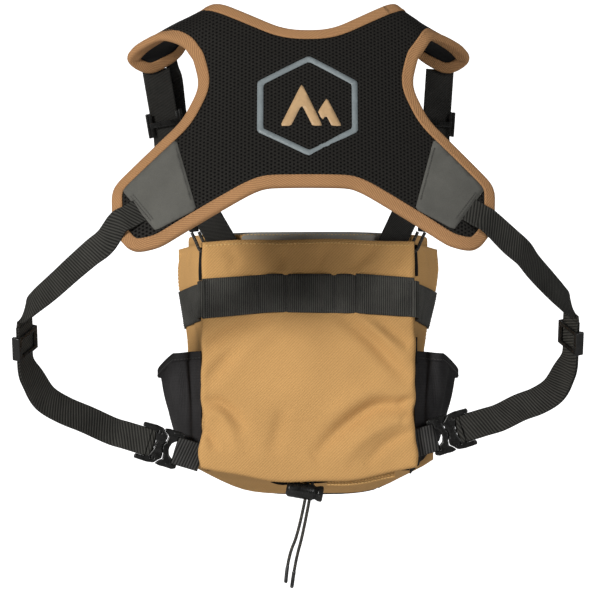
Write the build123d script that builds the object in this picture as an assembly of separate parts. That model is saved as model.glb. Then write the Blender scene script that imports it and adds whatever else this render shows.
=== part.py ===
from build123d import *
import math
import os

# Binocular harness pack in its worn state, held up at the shoulders.
# Millimetres, +Z up. X = 0 is the mid-plane, the pack is on +Y (the wearer's chest) and the
# yoke is on -Y (the wearer's back). The origin is on the shoulders, between the two arms.
# Left parts are on -X. They are drawn once and mirrored for the right side. The soft parts of the
# right side hang a little closer in than the left ones, as worn straps do.

# ---- driving dimensions ------------------------------------------------------------------
WEB_WIDE = 25.0  # 1 inch webbing of all adjustable straps
WEB_THICK = 1.6
LOOP_THICK = 3.2  # two layers of webbing lying together

YOKE_LEAN = 27.0  # the yoke leans this much, its top towards the shoulders
YOKE_ORIGIN = (0, -60, -67)
YOKE_BEND = 550.0  # radius of the yoke around the wearer's back
MESH_THICK = 2.0
FOAM_THICK = 4.0
LINING_THICK = 1.5
BINDING_WIDE = 9.5
BINDING_THICK = 1.3
PATCH_THICK = 1.2
EMBLEM_THICK = 0.7

PACK_BACK_Y = 58.0  # face that lies on the wearer's chest
BACK_THICK = 6.0
TUB_REAR_Y = 72.5  # rear wall of the main compartment, behind the slot pocket
TUB_FRONT_Y = 157.5
TUB_WALL = 2.5
TUB_TOP_Z = -186.0
TUB_REAR_HALF = 97.0
TUB_FRONT_HALF = 124.0
TUB_TAPER = 4.0  # the half widths shrink this much from top to bottom
TUB_FOOT_Z = -420.0
FLOOR_REAR_Z = -390.0
FLOOR_FRONT_Z = -413.0
# The soft bottom corners: high and low end of the slant at the front, and its end at the rear.
FLOOR_CORNER = [(119.0, 157.5, -383.0), (60.0, 157.5, -413.0), (95.0, 72.5, -389.5)]
LID_GAP = 1.0
LID_THICK = 9.0
LID_REAR_Y = 70.5
LID_FRONT_HALF = 113.0
LID_CORNER = 8.0
MAGNET_RADIUS = 6.0
MAGNET_THICK = 2.0

BUCKLE_CENTRE = (-133.5, 68.2, -366.0)
BUCKLE_TILT = 17.0  # the buckle drops this much towards the pack
RIGHT_LIFT = 12.0  # the right buckle hangs this much higher than the left one
RIGHT_TUCK = 5.0  # and this much closer in, and the right triglide by this and the next
RIGHT_STRAP_TUCK = 14.0
RIGHT_ARM_TUCK = 18.0  # the right arm's front end is this much closer in than the left one's
BUCKLE_WIDE = 34.0
BUCKLE_THICK = 9.0
BAR_RADIUS = 1.9  # webbing bars of both buckle halves
FEMALE_BAR = -18.0  # place of the bars along the buckle
MALE_BAR = 16.9
TRIGLIDE_CENTRE = (-250.0, 2.0, -272.0)
TRIGLIDE_DIP = (0, 0.42, -0.9075)  # the way the strap runs through the triglide
TRIGLIDE_OUT = (-0.9063, 0.3835, 0.1775)  # square to that; the strap is on its way from -Y to +Y here
TRIGLIDE_LONG = 22.0
TRIGLIDE_TRAVEL = 8.0
RUN_OUT = 3.0  # the loop runs straight this far past the triglide's lowest place
STRAP_GAP = 2.5  # between the sliding loop and the strap that is sewn to the yoke
LOOP_START = 46.0  # from here to the female half the loop runs straight

CORD_RADIUS = 1.5
LOCK_CENTRE = (-3.0, 68.2, -407.0)
LOCK_TILT = 10.0
LOCK_RADIUS = 7.2
LOCK_BORE = 5.2
LOCK_PRESS = 3.5
CORD_HOLE_SHIFT = 3.5  # the cord hole is off the middle of the barrel, towards the button

os.makedirs("parts", exist_ok=True)


def save(name, shape):
    shape.label = name
    export_step(shape, f"parts/{name}.step")


def mirrored(shape):
    return mirror(shape, about=Plane.YZ)


def save_pair(name, left):
    save(f"left_{name}", left)
    save(f"right_{name}", mirrored(left))


def whole(*shapes):
    """Several solids as one node."""
    return Compound(children=[s for shape in shapes for s in shape.solids()])


def box(x0, x1, y0, y1, z0, z1):
    size = (x1 - x0, y1 - y0, z1 - z0)
    return Pos((x0 + x1) / 2, (y0 + y1) / 2, (z0 + z1) / 2) * Box(*size)


def prism(points, start, end, plane=Plane.XY):
    """The polygon through points, extruded from start to end along the plane's normal."""
    face = make_face(Polyline(*points, close=True))
    return plane * (Pos(0, 0, start) * extrude(face, end - start))


# ---- strips: webbing and pads that bend in space -------------------------------------------
def unit(v):
    return Vector(*v).normalized()


def strip(edges, thick, raised=0.0, inset=0.0):
    """A band between two edge lines. edges holds (first edge point, second edge point) pairs.

    Its outer face is raised above the edge points, and it is thick towards the inside.
    """
    mids = [(Vector(*a) + Vector(*b)) * 0.5 for a, b in edges]
    sections = []
    for i, (a, b) in enumerate(edges):
        travel = mids[min(i + 1, len(mids) - 1)] - mids[max(i - 1, 0)]
        across = (Vector(*b) - Vector(*a)).normalized()
        normal = across.cross(travel).normalized()
        first = Vector(*a) + across * inset + normal * raised
        second = Vector(*b) - across * inset + normal * raised
        corners = [first, second, second - normal * thick, first - normal * thick]
        sections.append(Wire.make_polygon(corners, close=True))
    return Solid.make_loft(sections, ruled=True)


def ribbon(stations, wide, thick):
    """A band from (centre, outward direction) stations, its width square to both."""
    centres = [Vector(*c) for c, _ in stations]
    edges = []
    for i, (_, outward) in enumerate(stations):
        travel = centres[min(i + 1, len(centres) - 1)] - centres[max(i - 1, 0)]
        across = travel.cross(unit(outward)).normalized()
        middle = centres[i] + unit(outward) * (thick / 2)
        edges.append((middle - across * (wide / 2), middle + across * (wide / 2)))
    return strip(edges, thick)


# ---- yoke -----------------------------------------------------------------------------------
lean = math.radians(YOKE_LEAN)
yoke_plane = Plane(
    origin=YOKE_ORIGIN, x_dir=(1, 0, 0), z_dir=(0, -math.cos(lean), math.sin(lean))
)

# Left half of the outline in the yoke's own plane, from the neck to the hem, as (x, y, corner radius).
YOKE_OUTLINE = [
    (-20, 77, 60),
    (-68, 104, 0),
    (-98, 56, 0),
    (-91, 26, 35),
    (-106, -8, 60),
    (-165, -66, 18),
    (-163, -106, 14),
    (-147, -130, 13),
    (-124, -127, 20),
    (-52, -84, 30),
    (-38, -77, 25),
]
NECK_SPLIT = 20.0  # the bindings part at the arms, and again just above the wing tips
WING_SPLIT = -95.0


def yoke_outline():
    left = YOKE_OUTLINE
    right = [(-x, y, r) for x, y, r in reversed(YOKE_OUTLINE)]
    corners = left + right
    points = [(x, y) for x, y, _ in corners]
    radii = [r for _, _, r in corners]
    return make_face(FilletPolyline(*points, radius=radii, close=True))


def yoke_prism(face):
    return Pos(0, 0, -70) * extrude(face, 100)


def yoke_layer(face, top, bottom):
    """The part of a bent sheet, from top to bottom below the yoke's outer face, inside an outline."""
    outer = Cylinder(YOKE_BEND - top, 400)
    inner = Cylinder(YOKE_BEND - bottom, 400)
    sheet = Pos(0, 0, -YOKE_BEND) * (Rot(90, 0, 0) * (outer - inner))
    return sheet & yoke_prism(face)


def in_yoke(shape):
    return yoke_plane.location * shape


outline = yoke_outline()
panel_outline = offset(outline, -BINDING_THICK, kind=Kind.INTERSECTION)
binding_window = offset(outline, -BINDING_WIDE, kind=Kind.INTERSECTION)
foam_top = MESH_THICK
foam_bottom = foam_top + FOAM_THICK
lining_bottom = foam_bottom + LINING_THICK

mesh = yoke_layer(panel_outline, 0, foam_top)
foam = yoke_layer(panel_outline, foam_top, foam_bottom)
lining = yoke_layer(panel_outline, foam_bottom, lining_bottom)
save("yoke_mesh_panel", in_yoke(mesh))
save("yoke_foam", in_yoke(foam))
save("yoke_lining", in_yoke(lining))

rim = yoke_layer(outline, -BINDING_THICK, lining_bottom + BINDING_THICK)
rim = rim - yoke_prism(binding_window) - yoke_layer(panel_outline, 0, lining_bottom)
arm_cut = prism([(-60, 117), (-110, 37), (-86, 22), (-36, 102)], -80, 40)
rim = rim - arm_cut - mirrored(arm_cut)
neck_zone = box(-90, 90, NECK_SPLIT, 140, -80, 40)
armhole_zone = box(-200, 0, WING_SPLIT, 60, -80, 40) - box(-60, 60, -95, 140, -80, 40)
hem_zone = box(-200, 200, -160, WING_SPLIT, -80, 40) + box(-60, 60, -100, 0, -80, 40)
save("neck_binding", in_yoke(rim & (neck_zone - armhole_zone - mirrored(armhole_zone))))
save_pair("armhole_binding", in_yoke(rim & armhole_zone))
save("hem_binding", in_yoke(rim & hem_zone))

patch_face = make_face(
    Polyline((-113, -30), (-90, -90), (-128, -114), (-156, -74), close=True)
)
patch = yoke_layer(patch_face & offset(outline, -BINDING_WIDE - 0.3), -PATCH_THICK, 0)
save("wing_patches", whole(in_yoke(patch), in_yoke(mirrored(patch))))


# A plain mountain badge: a hexagon frame around two peaks.
BADGE_RADIUS = 50.0
BADGE_FRAME = 6.0
badge_outer = Rot(0, 0, 90) * RegularPolygon(BADGE_RADIUS, 6)
badge_inner = Rot(0, 0, 90) * RegularPolygon(BADGE_RADIUS - BADGE_FRAME, 6)
save("emblem_frame", in_yoke(yoke_layer(badge_outer - badge_inner, -EMBLEM_THICK, 0)))
high_peak = [(-24, -20), (-6, 22), (12, -20), (3, -20), (-6, 1), (-15, -20)]
low_peak = [(8, -6), (16, 8), (29, -20), (20, -20), (15, -9), (12, -15)]
peaks = make_face(Polyline(*high_peak, close=True)) + make_face(Polyline(*low_peak, close=True))
save("emblem_peaks", in_yoke(yoke_layer(peaks, -EMBLEM_THICK, 0)))


# ---- arms over the shoulders ----------------------------------------------------------------
# (neck side, arm side) points of the left arm's outer face, from the yoke to its front end.
ARM_EDGES = [
    ((-68.7, -8.0, 24.6), (-98.9, -25.8, -20.2)),
    ((-82, -1, 27), (-109, -20, -11)),
    ((-91, 10, 25), (-120, -13, -4)),
    ((-98, 24, 18), (-132, -3, 0)),
    ((-105, 37, 8), (-144, 11, -3)),
    ((-111, 47, -3), (-156, 27, -9)),
    ((-117, 52, -15), (-163, 40, -19)),
    ((-127, 54, -28), (-159, 46, -31)),
]
FOLD_STATION = 3  # from the fold on, the whole right arm is tucked in
pad_thick = lining_bottom


def shoulder_arm(side, tuck):
    """The pad and its binding, drawn on the left; tuck moves the front end towards the mid-plane."""
    place = (lambda s: s) if side == "left" else mirrored
    edges = []
    for i, pair in enumerate(ARM_EDGES):
        shift = Vector(tuck * min(1, i / FOLD_STATION), 0, 0)
        neck_point, arm_point = (Vector(*point) + shift for point in pair)
        edges.append((arm_point, neck_point))
    pad = strip(edges, pad_thick, 0, BINDING_THICK)
    arm_rim = strip(edges, pad_thick + 2 * BINDING_THICK, BINDING_THICK)
    arm_window = strip(edges[:-1], pad_thick + 12, 6, BINDING_WIDE)
    save(f"{side}_shoulder_pad", place(pad))
    save(f"{side}_shoulder_binding", place(arm_rim - arm_window - pad))


shoulder_arm("left", 0)
shoulder_arm("right", RIGHT_ARM_TUCK)


# ---- shoulder webbing and its slider ----------------------------------------------------------
def slider(long, wide, opening, wall):
    """Webbing slider: end bars under the webbing, a middle bar over it, and two side rails."""
    half = opening / 2
    rail_x = wide / 2 + 0.6
    rail = box(rail_x, rail_x + 3, -long / 2, long / 2, -half - wall, half + wall)
    bar_span = rail_x + 0.5
    end = box(-bar_span, bar_span, long / 2 - 4, long / 2, -half - wall, -half)
    middle = box(-bar_span, bar_span, -2.5, 2.5, half, half + wall)
    return rail + mirrored(rail) + end + mirror(end, about=Plane.XZ) + middle


def frame_at(centre, across, along):
    """Local x across the strap, y along it and z out of it."""
    outward = unit(across).cross(unit(along))
    return Plane(origin=centre, x_dir=unit(across), z_dir=outward).location


SHOULDER_TOP = Vector(-135.5, 49.0, -34.0)
SHOULDER_KINK = Vector(-124.0, 55.0, -102.0)
SHOULDER_END = Vector(-71.0, 67.0, -193.0)
SLIDER_AT = 0.62  # place of the slider between the top and the kink
KINK_TUCK = 0.6  # share of the arm's tuck that is left at the kink
chest_out = (0, -1, -0.1)
shoulder_slider = slider(TRIGLIDE_LONG, WEB_WIDE + 2.5, 4.5, 2.0)


def shoulder_strap(side, tuck):
    """The shoulder webbing with its slider, drawn on the left."""
    place = (lambda s: s) if side == "left" else mirrored
    top = SHOULDER_TOP + Vector(tuck, 0, 0)
    kink = SHOULDER_KINK + Vector(tuck * KINK_TUCK, 0, 0)
    line = [(p, chest_out) for p in (top, kink, SHOULDER_END)]
    save(f"{side}_shoulder_webbing", place(ribbon(line, WEB_WIDE, WEB_THICK)))
    along = (kink - top).normalized()
    across = along.cross(unit(chest_out)).normalized()
    middle = top + (kink - top) * SLIDER_AT
    save(f"{side}_shoulder_slider", place(frame_at(middle, across, along) * shoulder_slider))


shoulder_strap("left", 0)
shoulder_strap("right", RIGHT_ARM_TUCK)


# ---- binocular tethers ------------------------------------------------------------------------
TETHER_TOP = Vector(-114.0, 63.0, -40.0)
TETHER_FOOT = Vector(-103.0, 68.2, -173.0)
SOCKET_LONG = 18.0
PLUG_LONG = 15.0
tether_axis = (TETHER_FOOT - TETHER_TOP).normalized()
tether_frame = Plane(origin=TETHER_FOOT, x_dir=(1, 0, 0.1), z_dir=-tether_axis)


def tether_block(low, high, low_size, high_size):
    """A tapered block on the tether's axis; low and high are heights above its foot."""
    lower = Pos(0, 0, low) * Rectangle(*low_size)
    upper = Pos(0, 0, high) * Rectangle(*high_size)
    return tether_frame.location * loft([lower, upper], ruled=True)


web_start = PLUG_LONG + SOCKET_LONG + 0.8
tether_length = (TETHER_FOOT - TETHER_TOP).length
tether_web = tether_block(web_start, tether_length, (10, WEB_THICK), (10, WEB_THICK))
socket = tether_block(PLUG_LONG + 0.4, web_start - 0.4, (13, 7), (12, 6))
plug = tether_block(0, PLUG_LONG, (9, 5), (12, 7))
save("tether_webbings", whole(tether_web, mirrored(tether_web)))
save("tether_sockets", whole(socket, mirrored(socket)))
save_pair("tether_plug", plug)

# One cord loop per side, down from the plug into the slot pocket and up again.
TETHER_CORD = [
    (-105.2, 67.2, -173.6),
    (-101.4, 68.2, -181.5),
    (-97.8, 68.2, -190.8),
    (-91.6, 68.2, -190.6),
    (-94.2, 68.2, -182.5),
    (-98.8, 67.4, -173.0),
]


def arc_radii(points, share=0.45):
    """The largest tangent arc at each inner point: share of the shorter run over tan(half the turn)."""
    radii = []
    for a, b, c in zip(points, points[1:], points[2:]):
        before = Vector(*b) - Vector(*a)
        after = Vector(*c) - Vector(*b)
        turn = math.radians(before.get_angle(after))
        radii.append(share * min(before.length, after.length) / math.tan(turn / 2))
    return radii


def cord(points, radius):
    """A round cord along straight runs joined by tangent arcs."""
    radii = arc_radii(points)
    path = FilletPolyline(*points, radius=radii)
    start = Plane(origin=path @ 0, z_dir=path % 0)
    return sweep(start * Circle(radius), path=path)


save_pair("tether_cord", cord(TETHER_CORD, CORD_RADIUS))


# ---- pack: tub of five panels, slot pocket and back panel ----------------------------------------
def hull(lower, upper):
    """A solid with flat faces between two rings of as many corners."""
    faces = [Face(Wire.make_polygon(ring, close=True)) for ring in (lower, upper)]
    for i in range(len(lower)):
        j = (i + 1) % len(lower)
        corners = [lower[i], lower[j], upper[j], upper[i]]
        faces.append(Face(Wire.make_polygon(corners, close=True)))
    return Solid(Shell(faces))


def tub_ring(z, inset, shrink):
    rear_half = TUB_REAR_HALF - inset - shrink
    front_half = TUB_FRONT_HALF - inset - shrink
    rear_y = TUB_REAR_Y + inset
    front_y = TUB_FRONT_Y - inset
    corners = [(-rear_half, rear_y), (rear_half, rear_y), (front_half, front_y), (-front_half, front_y)]
    return [Vector(x, y, z) for x, y in corners]


def tub_block(top, inset):
    shrink_top = TUB_TAPER * (TUB_TOP_Z - top) / (TUB_TOP_Z - TUB_FOOT_Z)
    return hull(tub_ring(TUB_FOOT_Z, inset, TUB_TAPER), tub_ring(top, inset, shrink_top))


def below_corner(side, rise):
    """Everything outside the slanting face between the floor and a gusset, raised by rise."""
    high, low, rear = (Vector(side * x, y, z + rise) for x, y, z in FLOOR_CORNER)
    out = (low - high).cross(rear - high).normalized()
    if out.Z > 0:
        out = -out
    slant = Plane(origin=(high + low) / 2, z_dir=out).location
    return slant * box(-250, 250, -250, 250, 0, 120)


def below_floor(rise):
    """Everything under the sloping floor, raised by rise."""
    profile = [
        (0, FLOOR_REAR_Z + rise),
        (TUB_REAR_Y, FLOOR_REAR_Z + rise),
        (TUB_FRONT_Y, FLOOR_FRONT_Z + rise),
        (200, FLOOR_FRONT_Z + rise),
        (200, -500),
        (0, -500),
    ]
    return prism(profile, -200, 200, Plane.YZ) + below_corner(1, rise) + below_corner(-1, rise)


tub_outer = tub_block(TUB_TOP_Z, 0) - below_floor(0)
tub_inner = tub_block(TUB_TOP_Z + 10, TUB_WALL) - below_floor(TUB_WALL)
tub = tub_outer - tub_inner
floor_zone = below_floor(TUB_WALL)
walls = tub - floor_zone
rear_zone = box(-200, 200, 0, TUB_REAR_Y + TUB_WALL, -500, 0)
front_zone = box(-200, 200, TUB_FRONT_Y - TUB_WALL, 200, -500, 0)
sides = walls - rear_zone - front_zone
save("bottom_panel", tub & floor_zone)
save("sleeve_wall", walls & rear_zone)
save("front_panel", walls & front_zone)
save_pair("gusset", sides & box(-200, 0, 0, 200, -500, 0))

BACK_HALF_TOP = 96.0
BACK_HALF_FOOT = 97.5
BACK_TOP_Z = -182.5
BACK_CORNER_Z = -386.0
BACK_FOOT_Z = -398.0
back_sides = Polyline(
    (-BACK_HALF_FOOT, BACK_CORNER_Z),
    (-BACK_HALF_TOP, BACK_TOP_Z),
    (BACK_HALF_TOP, BACK_TOP_Z),
    (BACK_HALF_FOOT, BACK_CORNER_Z),
)
back_foot = ThreePointArc(
    (-BACK_HALF_FOOT, BACK_CORNER_Z), (0, BACK_FOOT_Z), (BACK_HALF_FOOT, BACK_CORNER_Z)
)
back_face = Plane.XZ * make_face(back_sides + back_foot)
back_panel = Pos(0, PACK_BACK_Y, 0) * extrude(back_face, -BACK_THICK)
save("back_panel", back_panel)

# Webbing band across the back panel, stepped up in the middle, and its ends round the sides.
BAND_THICK = 2.0
BAND_TOP = [(-95, -215.5), (-38, -211.5), (-37, -211), (42, -211), (43, -210.5), (95, -214.5)]
BAND_FOOT = [(95, -250), (43, -246.5), (-28, -245.5), (-38, -246), (-95, -251.5)]
band_face = Plane.XZ * make_face(Polyline(*BAND_TOP, *BAND_FOOT, close=True))
save("back_webbing_band", Pos(0, PACK_BACK_Y - BAND_THICK, 0) * extrude(band_face, -BAND_THICK))
SIDE_BAND_WIDE = 33.0
side_band_stations = [
    ((-98.5, 62.0, -234), (-1, -0.2, 0)),
    ((-100.0, 72.0, -236), (-1, -0.25, 0)),
    ((-117.0, 122.0, -244), (-0.953, -0.303, 0)),
]
save_pair("side_band", ribbon(side_band_stations, SIDE_BAND_WIDE, WEB_THICK))

# ---- lid ------------------------------------------------------------------------------------------
lid_z = TUB_TOP_Z + LID_GAP
lid_outline = [
    (-TUB_REAR_HALF + 2, LID_REAR_Y),
    (TUB_REAR_HALF - 2, LID_REAR_Y),
    (LID_FRONT_HALF, TUB_FRONT_Y),
    (-LID_FRONT_HALF, TUB_FRONT_Y),
]
lid_block = prism(lid_outline, lid_z, lid_z + LID_THICK)
lid_block = fillet(lid_block.edges().filter_by(Axis.Z), LID_CORNER)
MAGNET_AT = (-45, 45)
MAGNET_Y = TUB_REAR_Y + 12
magnet = Cylinder(MAGNET_RADIUS, MAGNET_THICK)
lid_magnets = [Pos(x, MAGNET_Y, lid_z + MAGNET_THICK / 2) * magnet for x in MAGNET_AT]
for disc in lid_magnets:
    lid_block = lid_block - disc
save("lid", lid_block)
save("lid_magnets", whole(*lid_magnets))
rim_disc = Rot(90, 0, 0) * magnet
rim_y = TUB_REAR_Y + TUB_WALL + MAGNET_THICK / 2
rim_z = TUB_TOP_Z - MAGNET_RADIUS - 1
save("rim_magnets", whole(*[Pos(x, rim_y, rim_z) * rim_disc for x in MAGNET_AT]))

# ---- stretch pockets on the gussets ---------------------------------------------------------------
gusset_run = unit((TUB_REAR_HALF - TUB_FRONT_HALF, TUB_FRONT_Y - TUB_REAR_Y, 0))
pocket_plane = Plane(
    origin=(-TUB_REAR_HALF, TUB_REAR_Y, 0),
    x_dir=(-gusset_run.Y, gusset_run.X, 0),
    z_dir=gusset_run,
)
# In this plane x points out of the gusset and y points up. The gusset leans in towards its foot.
POCKET_OUTER = [(0.3, -283), (21, -297), (22, -303), (13, -356), (0.3, -360)]
POCKET_CAVITY = [(2.3, -262), (20, -262), (20, -301), (11.2, -353), (2.3, -356)]
pocket = prism(POCKET_OUTER, 14, 78, pocket_plane) - prism(POCKET_CAVITY, 16, 76, pocket_plane)
save_pair("side_pocket", pocket)


# ---- side straps and buckles --------------------------------------------------------------------------
def teardrop(bar_at, end_at, point, bar, thick):
    """Webbing turned round a bar: along x from bar_at to end_at, closing at point."""
    way = math.copysign(1, end_at - bar_at)
    fold = bar + thick
    half = LOOP_THICK / 2
    reach = abs(point - bar_at)
    skin = [(0, fold), (reach, half), (abs(end_at - bar_at), half)]
    skin += [(x, -y) for x, y in reversed(skin)]
    eye = [(0, bar), (reach - 1, 0), (0, -bar)]
    outer = make_face(Polyline(*skin, close=True)) + Circle(fold)
    inner = make_face(Polyline(*eye, close=True)) + Circle(bar)
    profile = outer - inner
    if way < 0:
        profile = mirror(profile, about=Plane.YZ)
    return Pos(bar_at, 0, 0) * profile


def webbing_bar(at):
    return Pos(at, 0, 0) * (Rot(90, 0, 0) * Cylinder(BAR_RADIUS, BUCKLE_WIDE - 5))


def female_half():
    """Buckle socket in its own frame: x towards the pack, y up the strap's width, z its thickness."""
    half_wide = BUCKLE_WIDE / 2
    half_thick = BUCKLE_THICK / 2
    shell = box(-20, 4, -half_wide, half_wide, -half_thick, half_thick)
    shell = fillet(shell.edges().filter_by(Axis.Z), 3)
    bar_slot = box(-22, -13.8, -half_wide + 3.3, half_wide - 3.3, -9, 9)
    mouth = box(-9, 5, -half_wide - 1, half_wide + 1, -half_thick + 1.6, half_thick - 1.6)
    window = box(-7, -1, -4, 4, -9, 0)
    return shell - bar_slot - mouth - window + webbing_bar(FEMALE_BAR)


def male_half():
    half_wide = BUCKLE_WIDE / 2
    base = box(4.4, 19, -half_wide + 1, half_wide - 1, -3.2, 3.2)
    base = fillet(base.edges().filter_by(Axis.Z), 2.5)
    bar_slot = box(12.6, 21, -half_wide + 3.3, half_wide - 3.3, -9, 9)
    bar_slot += prism([(13, -7.8), (13, 7.8), (8.8, 4), (8.8, -4)], -9, 9)
    guide = box(-6, 4.4, -2, 2, -2, 2)
    return base - bar_slot + guide + webbing_bar(MALE_BAR)


def latch_arm():
    """Springy side arm of the male half, with its press pad; the one on the upper side."""
    pad_out = BUCKLE_WIDE / 2 - 0.4
    points = [(4, 7), (4, 10.5), (-1, 11.5), (-2, pad_out), (-7, pad_out - 1.5), (-8.4, 9), (-6, 8)]
    return prism(points, -2.4, 2.4)


def side_strap(side, lift, buckle_tuck, strap_tuck):
    """All pieces of one side strap, drawn on the left with its buckle raised by lift.

    The buckle is tucked in by buckle_tuck, and the triglide by strap_tuck more.
    """
    place = (lambda s: s) if side == "left" else mirrored

    def hung(x, y, z, rise, tuck_share):
        return Vector(x + buckle_tuck + strap_tuck * tuck_share, y, z + lift * rise)

    tilt = math.radians(BUCKLE_TILT)
    towards_pack = Vector(math.cos(tilt), 0, -math.sin(tilt))
    centre = hung(*BUCKLE_CENTRE, 1, 0)
    buckle = Plane(origin=centre, x_dir=towards_pack, z_dir=(0, -1, 0)).location
    save(f"{side}_buckle_female", place(buckle * female_half()))
    save(f"{side}_buckle_male", place(buckle * male_half()))
    upper_arm = latch_arm()
    save(f"{side}_upper_latch_arm", place(buckle * upper_arm))
    save(f"{side}_lower_latch_arm", place(buckle * mirror(upper_arm, about=Plane.XZ)))

    loop_turn = extrude(Plane.XZ * teardrop(FEMALE_BAR, -LOOP_START, -30, 2.2, 1.4), WEB_WIDE / 2, both=True)
    tab = extrude(Plane.XZ * teardrop(MALE_BAR, 37.5, 27, 2.2, 1.3), WEB_WIDE / 2, both=True)

    triglide = hung(*TRIGLIDE_CENTRE, 0.4, 1)
    dip = unit(TRIGLIDE_DIP)
    above = TRIGLIDE_LONG / 2 + TRIGLIDE_TRAVEL
    loop_end = centre - towards_pack * LOOP_START
    lower = [
        (triglide - dip * above, TRIGLIDE_OUT),
        (triglide + dip * above, TRIGLIDE_OUT),
        (triglide + dip * (above + RUN_OUT), TRIGLIDE_OUT),
        (hung(-244, 22, -306, 0.5, 0.9), (-0.64, 0.77, 0)),
        (hung(-235, 35, -322, 0.6, 0.8), (-0.47, 0.88, 0)),
        (hung(-219, 47, -333, 0.7, 0.6), (-0.28, 0.96, 0)),
        (hung(-199, 57, -342, 0.9, 0.3), (-0.12, 0.99, 0)),
        (loop_end, (0, 1, 0)),
    ]
    run = ribbon(lower, WEB_WIDE, LOOP_THICK)
    save(f"{side}_strap_loop", place(buckle * loop_turn + run))

    start = triglide - dip * (above + STRAP_GAP)
    upper = [
        (Vector(-165, -85, -178), (-0.5, -0.87, 0.1)),
        (Vector(-183 + strap_tuck * 0.2, -75, -191), (-0.55, -0.84, 0.1)),
        (hung(-203, -60, -207, 0.1, 0.3), (-0.68, -0.73, 0.1)),
        (hung(-222, -43, -223, 0.2, 0.6), (-0.82, -0.57, 0.05)),
        (hung(-240, -25, -237, 0.3, 0.9), (-0.97, -0.2, 0)),
        (start - dip * 7, (-0.985, 0.16, 0.07)),
        (start, TRIGLIDE_OUT),
    ]
    save(f"{side}_side_webbing", place(ribbon(upper, WEB_WIDE, WEB_THICK)))

    glide = slider(TRIGLIDE_LONG, WEB_WIDE + 2.5, LOOP_THICK + 1.0, 1.8)
    across = dip.cross(unit(TRIGLIDE_OUT))
    save(f"{side}_side_triglide", place(frame_at(triglide, across, dip) * glide))
    return place(buckle * tab)


left_tab = side_strap("left", 0, 0, 0)
right_tab = side_strap("right", RIGHT_LIFT, RIGHT_TUCK, RIGHT_STRAP_TUCK)
save("buckle_tabs", whole(left_tab, right_tab))

# ---- draw cords and their lock -----------------------------------------------------------------------
lock_tilt = math.radians(LOCK_TILT)
lock_across = Vector(math.cos(lock_tilt), 0, -math.sin(lock_tilt))
cord_down = Vector(-math.sin(lock_tilt), 0, -math.cos(lock_tilt))
# Local x along the barrel, towards the button, and z up along the cords.
lock_frame = Plane(origin=LOCK_CENTRE, x_dir=lock_across, z_dir=-cord_down).location
CORD_PITCH = 3.8
BARREL_LEFT = -17.0
BARREL_RIGHT = 8.0
BORE_END = -12.0
STEM_END = -6.0
HOLE_ROOM = 0.45
hole_half = CORD_PITCH / 2 + CORD_RADIUS + HOLE_ROOM
hole_deep = CORD_RADIUS + HOLE_ROOM


def along_barrel(radius, start, end):
    return Pos((start + end) / 2, 0, 0) * (Rot(0, 90, 0) * Cylinder(radius, end - start))


def cord_slot(left, right, deep):
    middle = CORD_HOLE_SHIFT
    return box(middle - left, middle + right, -deep, deep, -12, 12)


barrel = along_barrel(LOCK_RADIUS, BARREL_LEFT, BARREL_RIGHT)
barrel = chamfer(barrel.edges().sort_by(Axis.X)[0], 1.5)
barrel = barrel - along_barrel(LOCK_BORE, BORE_END, BARREL_RIGHT + 1)
barrel = barrel - cord_slot(hole_half, hole_half, hole_deep)
cap_left = BARREL_RIGHT + LOCK_PRESS + 0.4
button = along_barrel(LOCK_BORE - 0.3, STEM_END, cap_left + 1)
button = button + along_barrel(LOCK_RADIUS - 0.4, cap_left, cap_left + 4.5)
button = button - cord_slot(hole_half, hole_half + LOCK_PRESS, hole_deep)
spring = along_barrel(LOCK_BORE - 0.8, BORE_END, BORE_END + 2.3) - along_barrel(3.2, -20, 0)
save("cord_lock_barrel", lock_frame * barrel)
save("cord_lock_button", lock_frame * button)
save("cord_lock_spring", lock_frame * spring)


# The cords run straight through the lock and its travel, then hang. The tips are sealed.
LEFT_DRAW_CORD = [
    (1.7, 68.2, -389.6),
    (-7.5, 68.2, -441.7),
    (-18.8, 66.5, -467.0),
    (-20.3, 65.0, -489.0),
]
RIGHT_DRAW_CORD = [
    (5.4, 68.2, -390.2),
    (-3.8, 68.2, -442.4),
    (-12.0, 69.5, -471.0),
    (-14.9, 70.5, -494.0),
]
save("left_draw_cord", cord(LEFT_DRAW_CORD, CORD_RADIUS))
save("right_draw_cord", cord(RIGHT_DRAW_CORD, CORD_RADIUS))
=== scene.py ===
import math

import bmesh
import bpy
import numpy as np
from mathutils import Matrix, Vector, geometry, kdtree


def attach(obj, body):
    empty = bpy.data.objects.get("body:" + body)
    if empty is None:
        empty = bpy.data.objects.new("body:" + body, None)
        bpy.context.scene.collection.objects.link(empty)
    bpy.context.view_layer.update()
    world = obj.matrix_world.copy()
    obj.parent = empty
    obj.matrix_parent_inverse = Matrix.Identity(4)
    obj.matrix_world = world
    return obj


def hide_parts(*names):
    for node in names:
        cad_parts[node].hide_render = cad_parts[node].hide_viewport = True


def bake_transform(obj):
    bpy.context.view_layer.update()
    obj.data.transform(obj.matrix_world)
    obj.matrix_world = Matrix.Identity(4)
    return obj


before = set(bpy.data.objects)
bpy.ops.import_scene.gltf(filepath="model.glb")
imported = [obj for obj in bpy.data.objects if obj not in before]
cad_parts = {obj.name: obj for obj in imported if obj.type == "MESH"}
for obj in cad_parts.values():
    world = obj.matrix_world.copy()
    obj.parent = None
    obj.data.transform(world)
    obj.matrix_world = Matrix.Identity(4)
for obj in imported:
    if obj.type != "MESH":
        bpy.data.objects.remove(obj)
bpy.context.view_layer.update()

# Shapes are worked out in millimetres, as in the CAD, and MM turns them into Blender's metres.
# Left is -X. Where a function takes a side, it is -1 for left and 1 for right.
MM = 0.001
SIDES = {"left": -1, "right": 1}
SHARP_ANGLE = math.radians(38)  # mouldings keep the edges above it sharp
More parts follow.
